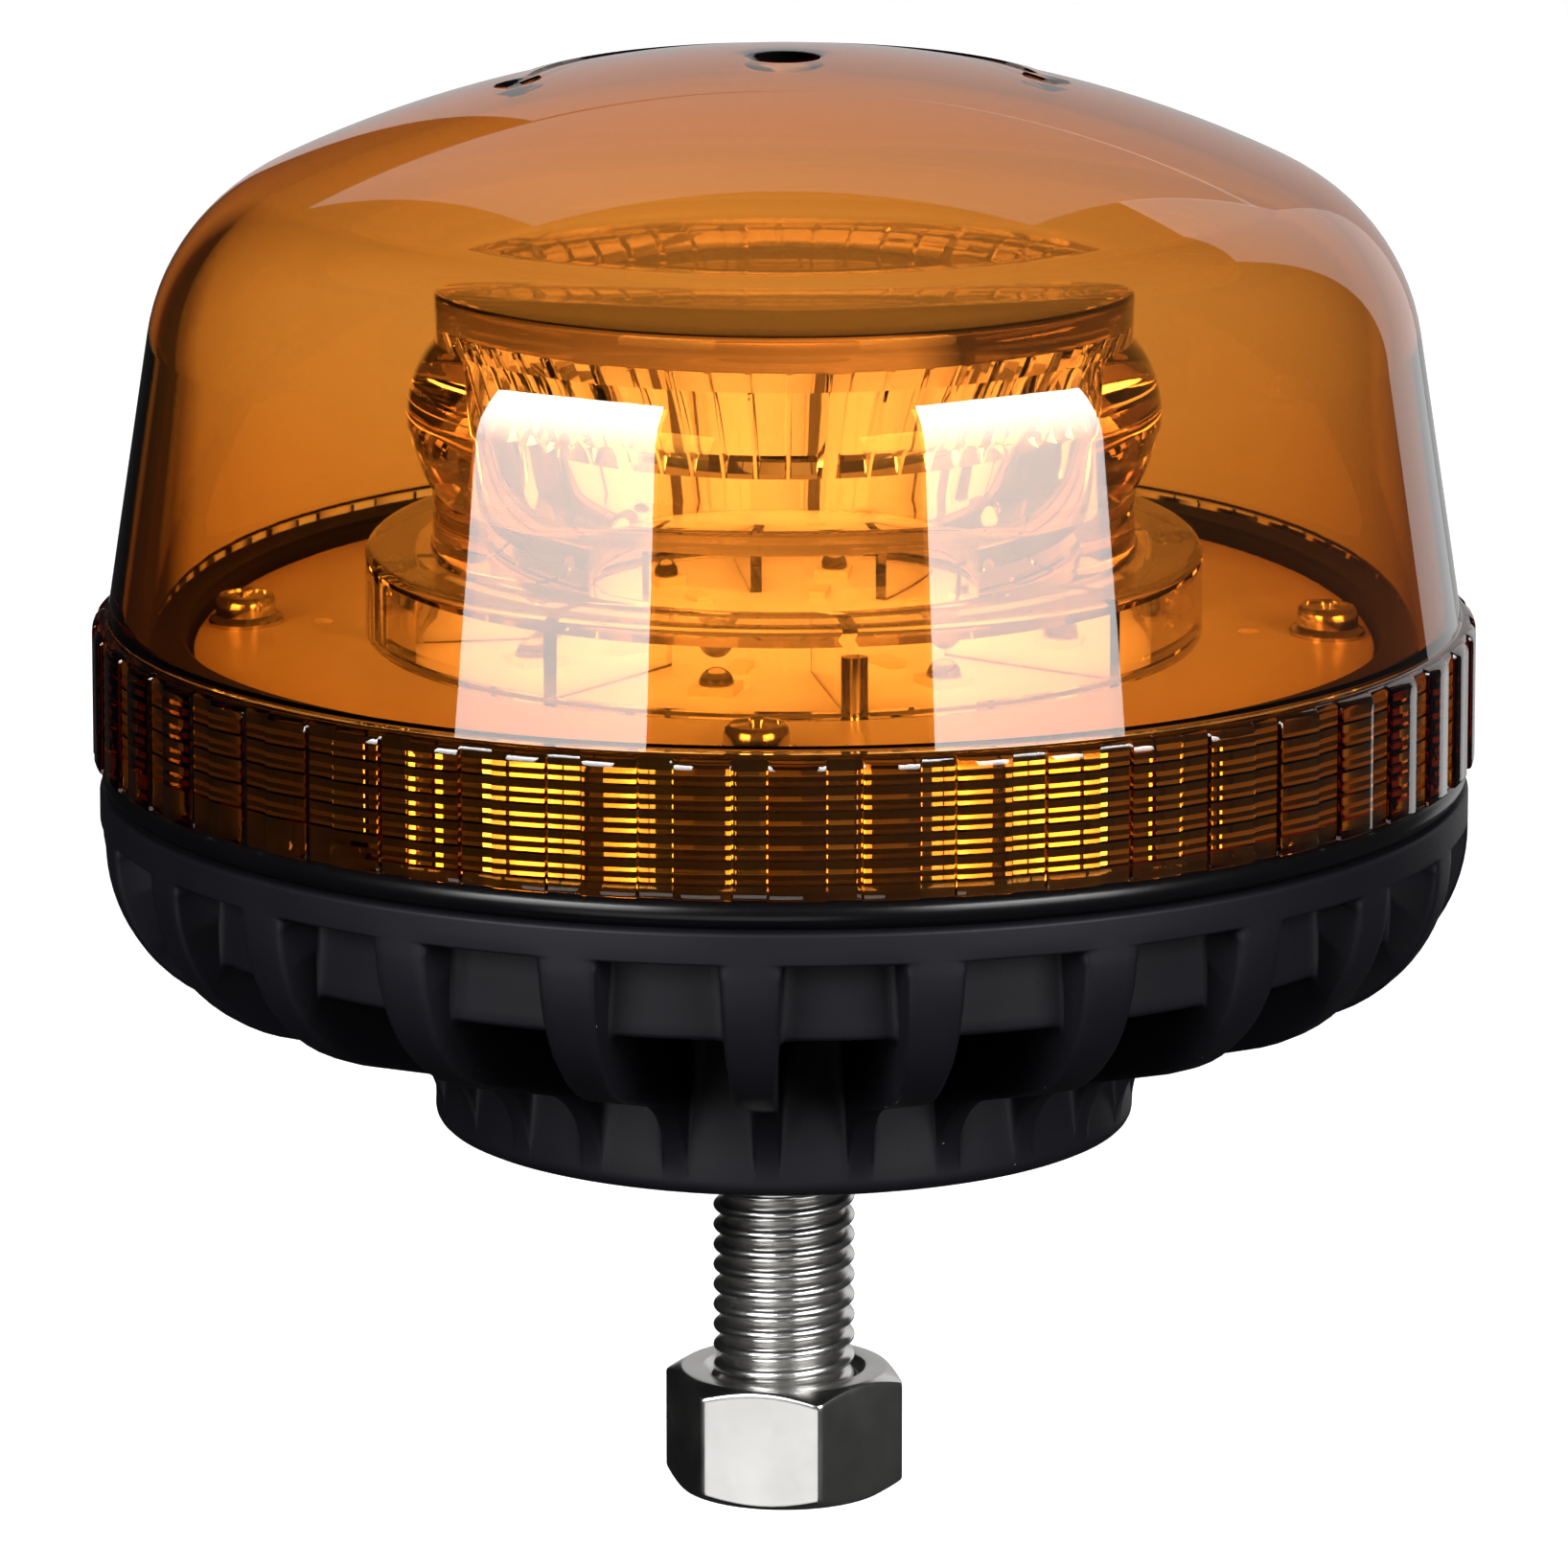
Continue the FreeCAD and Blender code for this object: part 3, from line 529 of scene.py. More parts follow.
def polished(mesh: bpy.types.Mesh, facing: Callable[[np.ndarray, np.ndarray], np.ndarray]) -> None:
    """Gives the turned faces of a mesh the exact slope of their outline, so that light bends evenly.

    Args:
        mesh: A shown piece's mesh.
        facing: Gives the slope's radius and height for points of radius and height, zero where it has none.
    """
    x, y, z = read_all(mesh.vertices, "co", 3).T / MM
    r = np.maximum(np.hypot(x, y), TINY)
    out = facing(r, z)
    exact = np.stack([out[:, 0] * x / r, out[:, 0] * y / r, out[:, 1]], axis=1)
    exact = exact[read_all(mesh.loops, "vertex_index", 1).ravel()]
    sides = read_all(mesh.polygons, "loop_total", 1).ravel()
    flat = np.repeat(read_all(mesh.polygons, "normal", 3), sides, axis=0)
    corners = read_all(mesh.corner_normals, "vector", 3)
    agrees = (exact * flat).sum(axis=1) > math.cos(math.radians(SLOPE_MATCH))
    corners[agrees] = exact[agrees]
    mesh.normals_split_custom_set(corners.tolist())


def new_tree(name: str, sockets: dict[str, str]) -> tuple[bpy.types.NodeTree, bpy.types.NodeOutputs]:
    """Starts a geometry node tree with a shape in, a shape out and named sizes.

    Args:
        name: The tree's name.
        sockets: Kind of each size, by its name.

    Returns:
        The tree and the sockets that give what was put in.
    """
    tree = bpy.data.node_groups.new(name, "GeometryNodeTree")
    tree.interface.new_socket("Geometry", in_out="OUTPUT", socket_type="NodeSocketGeometry")
    tree.interface.new_socket("Geometry", in_out="INPUT", socket_type="NodeSocketGeometry")
    for label, kind in sockets.items():
        tree.interface.new_socket(label, in_out="INPUT", socket_type="NodeSocket" + kind)
    return tree, add_node(tree, "NodeGroupInput").outputs


def end_tree(tree: bpy.types.NodeTree, shape: bpy.types.NodeSocket, finish: bpy.types.NodeSocket) -> None:
    """Ends a geometry node tree: makes its copies real, welds them and dresses them.

    Args:
        tree: The tree.
        shape: What gives the shape.
        finish: What gives the material.
    """
    solid = add_node(tree, "GeometryNodeRealizeInstances", {"Geometry": shape})
    whole = add_node(tree, "GeometryNodeMergeByDistance", {"Geometry": solid.outputs[0], "Distance": WELD})
    dressed = add_node(tree, "GeometryNodeSetMaterial", {"Geometry": whole.outputs[0], "Material": finish})
    add_node(tree, "NodeGroupOutput", {0: dressed.outputs[0]})


def ring_tree() -> bpy.types.NodeTree:
    """Node tree that repeats a shape about the beacon's axis and welds the copies where they meet.

    Returns:
        The tree, made when it is first asked for.
    """
    made = bpy.data.node_groups.get("ring of copies")
    if made:
        return made
    tree, given = new_tree("ring of copies", {"Count": "Int", "First angle": "Float", "Finish": "Material"})
    points = add_node(tree, "GeometryNodePoints", {"Count": given["Count"]})
    step = add_node(tree, "ShaderNodeMath", {0: math.tau, 1: given["Count"]}, operation="DIVIDE")
    index = add_node(tree, "GeometryNodeInputIndex")
    angle = add_node(tree, "ShaderNodeMath", {
        0: index.outputs[0], 1: step.outputs[0], 2: given["First angle"]}, operation="MULTIPLY_ADD")
    turn = add_node(tree, "FunctionNodeAxisAngleToRotation", {
        "Axis": (0.0, 0.0, 1.0), "Angle": angle.outputs[0]})
    copies = add_node(tree, "GeometryNodeInstanceOnPoints", {
        "Points": points.outputs[0], "Instance": given["Geometry"], "Rotation": turn.outputs[0]})
    end_tree(tree, copies.outputs[0], given["Finish"])
    return tree


def thread_tree() -> bpy.types.NodeTree:
    """Node tree for a rod with a rolled right-hand thread: round crests, sharp roots and a pointed end.

    Returns:
        The tree, which rolls a flat grid of points round the axis and closes it with a cap row at each end.
    """
    tree, given = new_tree("rolled thread", {
        "Core": "Float", "Depth": "Float", "Pitch": "Float", "Low": "Float", "High": "Float",
        "Point": "Float", "Around": "Int", "Rows": "Int", "Finish": "Material"})
    position = add_node(tree, "GeometryNodeInputPosition").outputs[0]
    spot = add_node(tree, "ShaderNodeSeparateXYZ", {0: position}).outputs
    made = {"grid x": spot["X"], "grid y": spot["Y"]}
    # What each step gives, its operation, and what goes in: an earlier step, one of the sizes or a number
    for name, operation, *terms in (
            ("grid columns", "ADD", "Around", 1.0),
            ("length", "SUBTRACT", "High", "Low"),
            ("turns", "DIVIDE", "length", "Pitch"),
            ("spare turns", "ADD", "turns", 2.0),
            ("rows and caps", "MULTIPLY_ADD", "spare turns", "Rows", 4.0),
            ("grid rows", "CEIL", "rows and caps"),
            ("share of a turn", "ADD", "grid x", 0.5),
            ("up", "ADD", "grid y", 0.5),
            ("last row", "SUBTRACT", "grid rows", 1.0),
            ("row", "MULTIPLY", "up", "last row"),
            ("row over cap", "SUBTRACT", "row", 1.0),
            ("turns up", "DIVIDE", "row over cap", "Rows"),
            ("helix", "ADD", "turns up", "share of a turn"),
            ("helix from low", "SUBTRACT", "helix", 1.0),
            ("free height", "MULTIPLY_ADD", "helix from low", "Pitch", "Low"),
            ("height over low", "MAXIMUM", "free height", "Low"),
            ("height", "MINIMUM", "height over low", "High"),
            ("lift", "SUBTRACT", "height", "Low"),
            ("turns lifted", "DIVIDE", "lift", "Pitch"),
            ("phase", "SUBTRACT", "turns lifted", "share of a turn"),
            ("wave", "FRACT", "phase"),
            ("off crest", "MULTIPLY_ADD", "wave", 2.0, -1.0),
            ("fall", "POWER", "off crest", 2.0),
            ("crest", "SUBTRACT", 1.0, "fall"),
            ("threaded", "MULTIPLY_ADD", "crest", "Depth", "Core"),
            ("cone", "ADD", "lift", "Point"),
            ("pointed", "MINIMUM", "threaded", "cone"),
            ("over low cap", "GREATER_THAN", "row", 0.5),
            ("high cap", "SUBTRACT", "last row", 0.5),
            ("under high cap", "LESS_THAN", "row", "high cap"),
            ("on wall", "MULTIPLY", "over low cap", "under high cap"),
            ("radius", "MULTIPLY", "pointed", "on wall"),
            ("angle", "MULTIPLY", "share of a turn", math.tau),
            ("cosine", "COSINE", "angle"),
            ("sine", "SINE", "angle"),
            ("x", "MULTIPLY", "radius", "cosine"),
            ("y", "MULTIPLY", "radius", "sine")):
        inputs = {}
        for k, term in enumerate(terms):
            inputs[k] = made.get(term) or given[term] if isinstance(term, str) else term
        made[name] = add_node(tree, "ShaderNodeMath", inputs, operation=operation).outputs[0]
    grid = add_node(tree, "GeometryNodeMeshGrid", {
        "Size X": 1.0, "Size Y": 1.0, "Vertices X": made["grid columns"], "Vertices Y": made["grid rows"]})
    place = add_node(tree, "ShaderNodeCombineXYZ", {0: made["x"], 1: made["y"], 2: made["height"]})
    rolled = add_node(tree, "GeometryNodeSetPosition", {
        "Geometry": grid.outputs[0], "Position": place.outputs[0]})
    end_tree(tree, rolled.outputs[0], given["Finish"])
    return tree


@dataclass
class FinnedBase:
    """Black housing: rim, ring of fins, hub, collar, driver chamber, bolt seat and board posts."""

    rim_r: float = 57.4
    rim_top: float = 29.0
    rim_edge: float = 0.4
    lip_low: float = 26.2
    lip_edge: float = 0.25
    panel_r: float = 53.0
    shelf: float = 19.0
    shelf_edge: float = 0.5
    fin_count: int = 24
    fin_arc_r: float = 14.0
    fin_arc: tuple[float, float] = (43.4, 25.5)
    fin_slope: float = 15.0
    fin_draft: float = 0.5      # degrees that each side of a fin gives up towards its foot
    fin_side: float = 2.6       # degrees from a fin's middle to its side
    fin_marks: tuple[float, float, float] = (-3.0, -38.0, -44.0)    # where stretches of its back end
    hub_r: float = 29.4
    hub_fillet: float = 7.6
    hub_edge: float = 1.1
    hub_taper: float = 1.2
    gap_foot: float = 1.4
    gap_bend: float = 3.0       # between the shelf and the hub behind it
    collar_r: float = 54.2
    collar_bore: float = 50.2
    collar_top: float = 42.5
    chamber_floor: float = 21.5
    hub_bore: float = 25.4
    hub_floor: float = 4.0
    seat_r: float = 15.0
    seat_top: float = 15.0
    head_pocket: tuple[float, float] = (10.75, 7.5)
    seal_pocket: tuple[float, float] = (8.65, 6.0)
    bolt_hole: float = 6.25
    inlet_y: float = 20.2
    inlet_hole: float = 3.9
    inlet_recess: tuple[float, float] = (4.95, 1.5)
    post_r: float = 4.6
    post_circle: float = 45.8
    post_top: float = 39.4
    post_count: int = 4
    pilot: tuple[float, float] = (1.7, 27.35)
    drill_over: float = 1.0     # how far the inlet's drill stands out at each end
    rows: tuple[int, ...] = (2, 4, 4, 3, 8, 4, 14, 5, 10, 6)    # points in each stretch of an outline
    blend: float = 0.4          # largest share of the way from one outline to the other
    # Half a fin and half a gap: angle from the fin's middle, distance from the fin's outline, or as a
    # negative number from the gap's, and share of the fin where both run out on the hub
    columns: tuple[tuple[float, float, float], ...] = (
        (0.0, 0.0, 1.0), (1.3, 0.0, 1.0), (2.0, 0.03, 0.97), (2.3, 0.12, 0.9), (2.46, 0.3, 0.8),
        (2.54, 0.55, 0.68), (2.72, -0.45, 0.5), (2.9, -0.2, 0.38), (3.2, -0.05, 0.24),
        (3.8, 0.0, 0.1), (5.4, 0.0, 0.02), (7.5, 0.0, 0.0))

    def fin_run(self) -> list[Profile]:
        """The fin's outline from the rim down to the hub.

        Returns:
            Stretches of radius and height, which pair with the gap's.
        """
        slope = math.radians(self.fin_slope)
        top, back, low_back = self.fin_marks
        under = arc(self.fin_arc, self.fin_arc_r, low_back, self.fin_slope - 90.0, 24)
        fillet_r = self.hub_r + self.hub_fillet
        drop = (under[-1][0] - fillet_r) * math.tan(slope) + self.hub_fillet / math.cos(slope)
        fillet = arc((fillet_r, under[-1][1] - drop), self.hub_fillet, 90.0 + self.fin_slope, 180.0, 18)
        lip, lip_top = (self.rim_r, self.lip_low), (self.rim_r, self.lip_low + self.lip_edge)
        top_arc = arc(self.fin_arc, self.fin_arc_r, 0.0, top, 4)
        return [
            [(self.rim_r, self.rim_top - self.rim_edge), lip_top],
            [lip_top, lip],
            [lip] + top_arc[:2],
            top_arc[1:],
            arc(self.fin_arc, self.fin_arc_r, top, back, 16),
            arc(self.fin_arc, self.fin_arc_r, back, low_back, 4),
            under + fillet[:1],
            fillet[:7],
            fillet[6:] + [(self.hub_r, self.gap_foot)],
            self.hub_foot(),
        ]

    def gap_run(self) -> list[Profile]:
        """The gap's outline: rim's lip, roof, upright panel, shelf and the hub behind it.

        Returns:
            Stretches of radius and height, which pair with the fin's.
        """
        low, edge, toe_r, bend_r = self.lip_low, self.lip_edge, self.shelf_edge, self.gap_bend
        lip = arc((self.rim_r - edge, low + edge), edge, 0.0, -90.0, 5)
        corner = arc((self.panel_r + edge, low - edge), edge, 90.0, 180.0, 5)
        toe = arc((self.panel_r - toe_r, self.shelf + toe_r), toe_r, 0.0, -90.0, 6)
        back_r = self.hub_r - self.hub_taper
        bend = arc((back_r + bend_r, self.shelf - bend_r), bend_r, 90.0, 176.0, 9)
        return [
            [(self.rim_r, self.rim_top - self.rim_edge), lip[0]],
            lip,
            [lip[-1], corner[0]],
            corner,
            [corner[-1], toe[0]],
            toe,
            [toe[-1], bend[0]],
            bend,
            [bend[-1], (self.hub_r, self.gap_foot)],
            self.hub_foot(),
        ]

    def hub_foot(self) -> Profile:
        """The hub's plain foot and its rounded lower edge."""
        edge = self.hub_edge
        return [(self.hub_r, self.gap_foot)] + arc((self.hub_r - edge, edge), edge, 0.0, -90.0, 9)

    def inside(self) -> Profile:
        """From the bolt hole up through seat, chamber and collar to the rim's upper edge.

        Returns:
            Points of radius and height.
        """
        head, seal, edge = self.head_pocket, self.seal_pocket, self.rim_edge
        return [
            (self.bolt_hole, 0.0), (self.bolt_hole, seal[1]), seal, (seal[0], head[1]), head,
            (head[0], self.seat_top), (self.seat_r, self.seat_top), (self.seat_r, self.hub_floor),
            (self.hub_bore, self.hub_floor), (self.hub_bore, self.chamber_floor),
            (self.collar_bore, self.chamber_floor), (self.collar_bore, self.collar_top - edge),
            (self.collar_bore + edge, self.collar_top), (self.collar_r - edge, self.collar_top),
            (self.collar_r, self.collar_top - edge), (self.collar_r, self.rim_top),
        ] + arc((self.rim_r - edge, self.rim_top - edge), edge, 90.0, 8.0, 5)

    def sector(self) -> bpy.types.Mesh:
        """One fin with half a gap on each side.

        Returns:
            The sector's skin, open where the next one joins it.
        """
        rows, half_sector = self.rows, 180.0 / self.fin_count
        fin = np.concatenate([spaced(run, count) for run, count in zip(self.fin_run(), rows)])
        gap = np.concatenate([spaced(run, count) for run, count in zip(self.gap_run(), rows)])
        back_start, under_start, fillet_start, foot_start = [sum(rows[:k]) for k in (3, 6, 7, 9)]
        low_zone = np.zeros(len(fin))
        low_zone[fillet_start:foot_start] = np.linspace(0.0, 1.0, foot_start - fillet_start)
        end, inside = [(self.hub_r - self.hub_edge, 0.0)], self.inside()
        draft = np.zeros(len(fin) + len(end) + len(inside))
        draft[:len(fin)] = self.fin_draft * np.interp(
            np.arange(len(fin)), (back_start, under_start, foot_start, len(fin)), (0.0, 1.0, 1.0, 0.0))
        way = gap - fin
        length = np.maximum(np.linalg.norm(way, axis=1), TINY)
        half = []
        for angle, step, hub_share in self.columns:
            near = np.minimum(abs(step) / length, self.blend)
            share = near if angle < self.fin_side else 1.0 - near
            share += low_zone * (1.0 - hub_share - share)
            lean = min(angle / self.fin_side, (half_sector - angle) / (half_sector - self.fin_side))
            half.append((angle - draft * lean, np.concatenate([fin + way * share[:, None], end, inside])))
        both = [(-angle, run) for angle, run in reversed(half[1:])] + half
        return quads("base_sector", np.stack([upright(run, angle) for angle, run in both]), True)

    def build(self) -> None:
        """Rings the fins, drills the cable inlet and stands the board posts in the chamber."""
        finish = BLACK_NYLON.material()
        skin = grown(self.sector(), ring_tree(), Count=self.fin_count, First_angle=0.0, Finish=finish)
        recess_r, recess = self.inlet_recess
        below, above = -self.drill_over, self.hub_floor + self.drill_over
        cutter = lathed("inlet_cutter", [
            (0.0, below), (recess_r, below), (recess_r, recess), (self.inlet_hole, recess),
            (self.inlet_hole, above), (0.0, above)], 64, False)
        cutter.transform(Matrix.Translation((0.0, self.inlet_y * MM, 0.0)))
        shell = drilled(skin, cutter)
        show(shell, "base_housing_shell", BLACK_NYLON, Body.BASE, ("base_housing",))
        pilot_r, pilot_low = self.pilot
        post = lathed("post", [
            (0.0, self.chamber_floor), (self.post_r, self.chamber_floor), (self.post_r, self.post_top),
            (pilot_r, self.post_top), (pilot_r, pilot_low), (0.0, pilot_low)], 48, False)
        post.transform(Matrix.Translation((0.0, -self.post_circle * MM, 0.0)))
        posts = grown(post, ring_tree(), Count=self.post_count, First_angle=0.0, Finish=finish)
        show(posts, "board_posts", BLACK_NYLON, Body.BASE)


def hexagon_angles() -> list[float]:
    """Angles of a hexagon's columns in degrees, close together at its corners.

    Returns:
        The angles of a full turn, both ends counted.
    """
    near = (0.0, 1.2, 2.4, 3.6, 9.0, 16.0, 23.0, 30.0)
    sixth = sorted({-a for a in near} | set(near))[:-1]
    return [30.0 + 60.0 * k + a for k in range(6) for a in sixth] + [360.0]


@dataclass
class Hexagon:
    """A nut or a bolt's head: flats, rounded corners and chamfered ends."""

    flats: float = 18.0
    corner: float = 0.75
    low: float = -32.5
    high: float = -22.1
    bore: float = 6.15
    bore_mouth: float = 6.95
    turn: float = -10.3
    chamfer: float = 30.0
    face_share: float = 0.965   # of the flats' distance, where the chamfer starts
    mouth_round: float = 0.1
    # Steps of radius and depth that round the chamfer's inner and outer edges
    inner_round: tuple[tuple[float, float], ...] = ((-0.25, 0.0), (0.0, 0.03), (0.12, 0.01))
    outer_round: tuple[tuple[float, float], ...] = ((-0.16, -0.06), (-0.05, 0.03), (0.0, 0.22), (0.0, 0.5))

    def reach(self, degrees: float) -> float:
        """Distance from the axis to the side, which is round at the corners.

        Args:
            degrees: Angle from the middle of a flat.

        Returns:
            The distance.
        """
        flat, twelfth = self.flats / 2, math.pi / 6
        off = math.radians(abs((degrees + 30.0) % 60.0 - 30.0))
        centre = (flat - self.corner) / math.cos(twelfth)
        from_corner = twelfth - off
        if from_corner > twelfth - math.atan2(centre * math.sin(twelfth), flat):
            return flat / math.cos(off)
        across = centre * math.sin(from_corner)
        return centre * math.cos(from_corner) + math.sqrt(self.corner ** 2 - across ** 2)

    def end_run(self, side: float) -> Profile:
        """One end from its bore to its side.

        Args:
            side: Distance from the axis to the side.

        Returns:
            Points of radius and depth below the end's face.
        """
        start = self.flats / 2 * self.face_share
        slope = math.tan(math.radians(self.chamfer))
        drop = (side - start) * slope
        mouth, soft = self.bore_mouth, self.mouth_round
        run = [(0.0, 0.0)]
        if self.bore:
            run = [(self.bore, mouth - self.bore), (mouth - soft, soft), (mouth + soft, 0.0)]
        run += [(start + r, slope * max(r, 0.0) + depth) for r, depth in self.inner_round]
        return run + [(side + r, drop + depth) for r, depth in self.outer_round]

    def mesh(self) -> bpy.types.Mesh:
        """The whole hexagon, standing between its two ends.

        Returns:
            The welded mesh.
        """
        columns = []
        for angle in hexagon_angles():
            end = self.end_run(self.reach(angle))
            run = [(r, self.low + depth) for r, depth in end]
            run += [(r, self.high - depth) for r, depth in reversed(end)]
            columns.append(upright(run, angle + self.turn))
        return welded(quads("hexagon", np.stack(columns), bool(self.bore)))


@dataclass
class BoltAndNut:
    """Threaded stainless bolt out of the hub, and the nut at its end."""

    bolt_r: float = 6.0
    thread_depth: float = 0.95
    pitch: float = 1.75
    end: float = -32.5
    seat: float = 7.5
    head_top: float = 15.0
    point: float = 1.2
    around: int = 64            # columns of the thread
    rows: int = 10              # rows of points in one turn of it

    def build(self) -> None:
        """Rolls the thread, sets the head on it and runs the nut to the bolt's end."""
        rod = grown(
            bpy.data.meshes.new("rod"), thread_tree(), Core=(self.bolt_r - self.thread_depth) * MM,
            Depth=self.thread_depth * MM, Pitch=self.pitch * MM, Low=self.end * MM, High=self.seat * MM,
            Point=(self.bolt_r - self.point) * MM, Around=self.around, Rows=self.rows,
            Finish=STAINLESS.material())
        head = Hexagon(low=self.seat, high=self.head_top, bore=0.0, turn=0.0).mesh()
        bolt = joined([rod, head])
        show(bolt, "mounting_bolt_threaded", STAINLESS, Body.BASE, ("mounting_bolt",), 50.0)
        show(Hexagon().mesh(), "mounting_nut_hex", STAINLESS, Body.NUT, ("mounting_nut",), 40.0)


@dataclass
class LensDome:
    """Amber dome with grip pads round its band and a screw thread inside the band."""

    top: float = 90.2
    crown_r: float = 99.0
    shoulder_r: float = 17.3
    lean: float = 8.6
    wall: float = 2.5
    draft: float = 6.5
    wall_r: float = 56.65
    band_r: float = 57.45
    band_low: float = 31.6
    band_top: float = 43.2
    band_edge: float = 0.55
    low_edge: float = 0.25
    band_rows: tuple[float, float] = (0.4, 0.3)         # rows of points in from the band's two edges
    bore: float = 55.0
    pad_count: int = 48
    pad_height: float = 0.45
    pad_edge: float = 1.0
    gate_r: float = 2.95
    gate_depth: float = 1.1
    gate_draft: float = 0.6
    gate_lip: float = 0.45      # from the gate's edge to the plain crown
    gate_clear: float = 0.6     # about the gate, where the crown's slope isn't exact
    arrow_r: float = 22.3       # twist arrow round the back of the crown
    arrow_half: float = 0.6
    arrow_tip: float = 0.15
    arrow_height: float = 0.2
    arrow_edge: float = 0.25
    arrow_clear: float = 0.5
    arrow_head: tuple[float, float] = (2.0, 7.0)        # half its width, and its length in degrees
    arrow_ends: tuple[float, float] = (98.0, 272.0)     # its two tips, in degrees from the front
    pitch: float = 2.0
    thread_height: float = 0.45
    thread_low: float = 32.2
    thread_turns: float = 4.6
    thread_start: float = -42.4
    thread_fade: tuple[float, float] = (0.02, 0.03)     # turns over which it starts and ends
    thread_zone: tuple[float, float] = (31.95, 42.75)
    mouth: tuple[float, float] = (0.5, 0.25)            # rows of points outside the bore's mouth
    ledge_round: tuple[float, float, float] = (0.25, 0.2, 0.15)
    fit: tuple[float, float, float] = (0.1, 0.01, 0.002)    # within which a point is on wall, end or arc
    # Steps of radius and height that round the gate's sink and its mouth
    sink_round: tuple[tuple[float, float], ...] = ((-0.3, 0.02), (0.0, 0.15))
    gate_round: tuple[tuple[float, float], ...] = ((-0.05, -0.2), (0.05, -0.08), (0.18, -0.02))
    # Steps of radius and height from the wall into the top of the band
    wall_foot: tuple[tuple[float, float], ...] = ((-1.2, 8.0), (-0.06, 0.4), (0.03, 0.12), (0.15, 0.02))
    # One thread ridge: distance along the axis, then its share of the full height. Its steep flanks throw
    # light back.
    ridge: tuple[tuple[float, float], ...] = ((0.0, 0.0), (0.45, 1.0), (0.9, 1.0), (1.35, 0.0))
    # Columns of one pad, from the middle of the groove before it: angle, then share of the pad's height
    pad: tuple[tuple[float, float], ...] = (
        (0.0, 0.0), (1.0, 0.0), (1.33, 0.04), (1.41, 0.35), (1.47, 0.8), (1.62, 1.0), (3.75, 1.0),
        (5.88, 1.0), (6.03, 0.8), (6.09, 0.35), (6.17, 0.04), (6.5, 0.0))

    def arcs(self) -> tuple[tuple[float, float], float, float]:
        """Works out the round stretches of the outer wall.

        Returns:
            Centre of the shoulder, height of the crown's centre, and the angle where the two meet.
        """
        lean = math.radians(self.lean)
        crown_z = self.top - self.crown_r
        along_r, along_z = -math.sin(lean), math.cos(lean)
        base_r = self.wall_r - self.shoulder_r * math.cos(lean)
        base_z = self.band_top - self.shoulder_r * math.sin(lean) - crown_z
        half = base_r * along_r + base_z * along_z
        reach = self.crown_r - self.shoulder_r
        step = -half + math.sqrt(half * half - base_r * base_r - base_z * base_z + reach * reach)
        centre = (base_r + step * along_r, base_z + crown_z + step * along_z)
        return centre, crown_z, math.degrees(math.atan2(centre[1] - crown_z, centre[0]))

    def arrow(self, angle: float) -> Profile:
        """The crown across the twist arrow, flat where there is no arrow.

        Args:
            angle: Angle from the front.

        Returns:
            Four points of radius and height.
        """
        first, last = self.arrow_ends
        wide, length = self.arrow_head
        from_tip = min(angle % 360.0 - first, last - angle % 360.0)
        in_head = 0.0 <= from_tip < length
        half = self.arrow_tip + wide * from_tip / length if in_head else self.arrow_half
        height = self.arrow_height if from_tip >= 0.0 else 0.0
        crown_z = self.top - self.crown_r
        foot = half + self.arrow_edge
        return [(r, crown_z + math.sqrt(self.crown_r ** 2 - r ** 2) + rise) for r, rise in (
            (self.arrow_r - foot, 0.0), (self.arrow_r - half, height),
            (self.arrow_r + half, height), (self.arrow_r + foot, 0.0))]

    def outside(self, raised: float, angle: float) -> Profile:
        """From the gate at the crown down to the band's lower edge.

        Args:
            raised: Share of a grip pad's height, zero in a groove.
            angle: Angle from the front.

        Returns:
            Points of radius and height.
        """
        shoulder, crown_z, meet = self.arcs()
        crown, gate, deep = (0.0, crown_z), self.gate_r, self.top - self.gate_depth
        lip = crown_z + math.sqrt(self.crown_r ** 2 - gate ** 2)
        sink = gate - self.gate_draft
        run = [(0.0, deep), (sink * 0.5, deep)]
        run += [(sink + r, deep + rise) for r, rise in self.sink_round]
        run += [(gate + r, lip + rise) for r, rise in self.gate_round]
        clear = self.arrow_head[0] + self.arrow_edge + self.arrow_clear
        start, near, far = [math.degrees(math.acos(r / self.crown_r)) for r in (
            gate + self.gate_lip, self.arrow_r - clear, self.arrow_r + clear)]
        run += arc(crown, self.crown_r, start, near, 8) + self.arrow(angle)
        run += arc(crown, self.crown_r, far, meet, 10)
        run += arc(shoulder, self.shoulder_r, meet, self.lean, 14)[1:]
        run += [(self.wall_r + r, self.band_top + rise) for r, rise in self.wall_foot]
        face = self.band_r + self.pad_height * raised
        edge = self.band_edge + (self.pad_edge - self.band_edge) * raised
        run += arc((face - edge, self.band_top - edge), edge, 88.0, 0.0, 6)
        low = arc((face - self.low_edge, self.band_low + self.low_edge), self.low_edge, 0.0, -90.0, 4)
        below, above = self.band_rows
        return run + [(face, run[-1][1] - below), (face, low[0][1] + above)] + low

    def thread(self, turn: float) -> Profile:
        """The threaded bore from low to high.

        Args:
            turn: Share of a turn from the thread's start.

        Returns:
            Points of radius and height.
        """
        low, high = self.thread_zone
        fade_in, fade_out = self.thread_fade
        run = []
        for k in range(math.ceil((high - low) / self.pitch) + 2):
            place = k - 1 + turn
            fade = min(1.0, max(0.0, place / fade_in), max(0.0, (self.thread_turns - place) / fade_out))
            for along, share in self.ridge:
                z = self.thread_low + self.pitch * place + along
                inside = low < z < high
                run.append((self.bore - self.thread_height * share * fade * inside, min(max(z, low), high)))
        return run

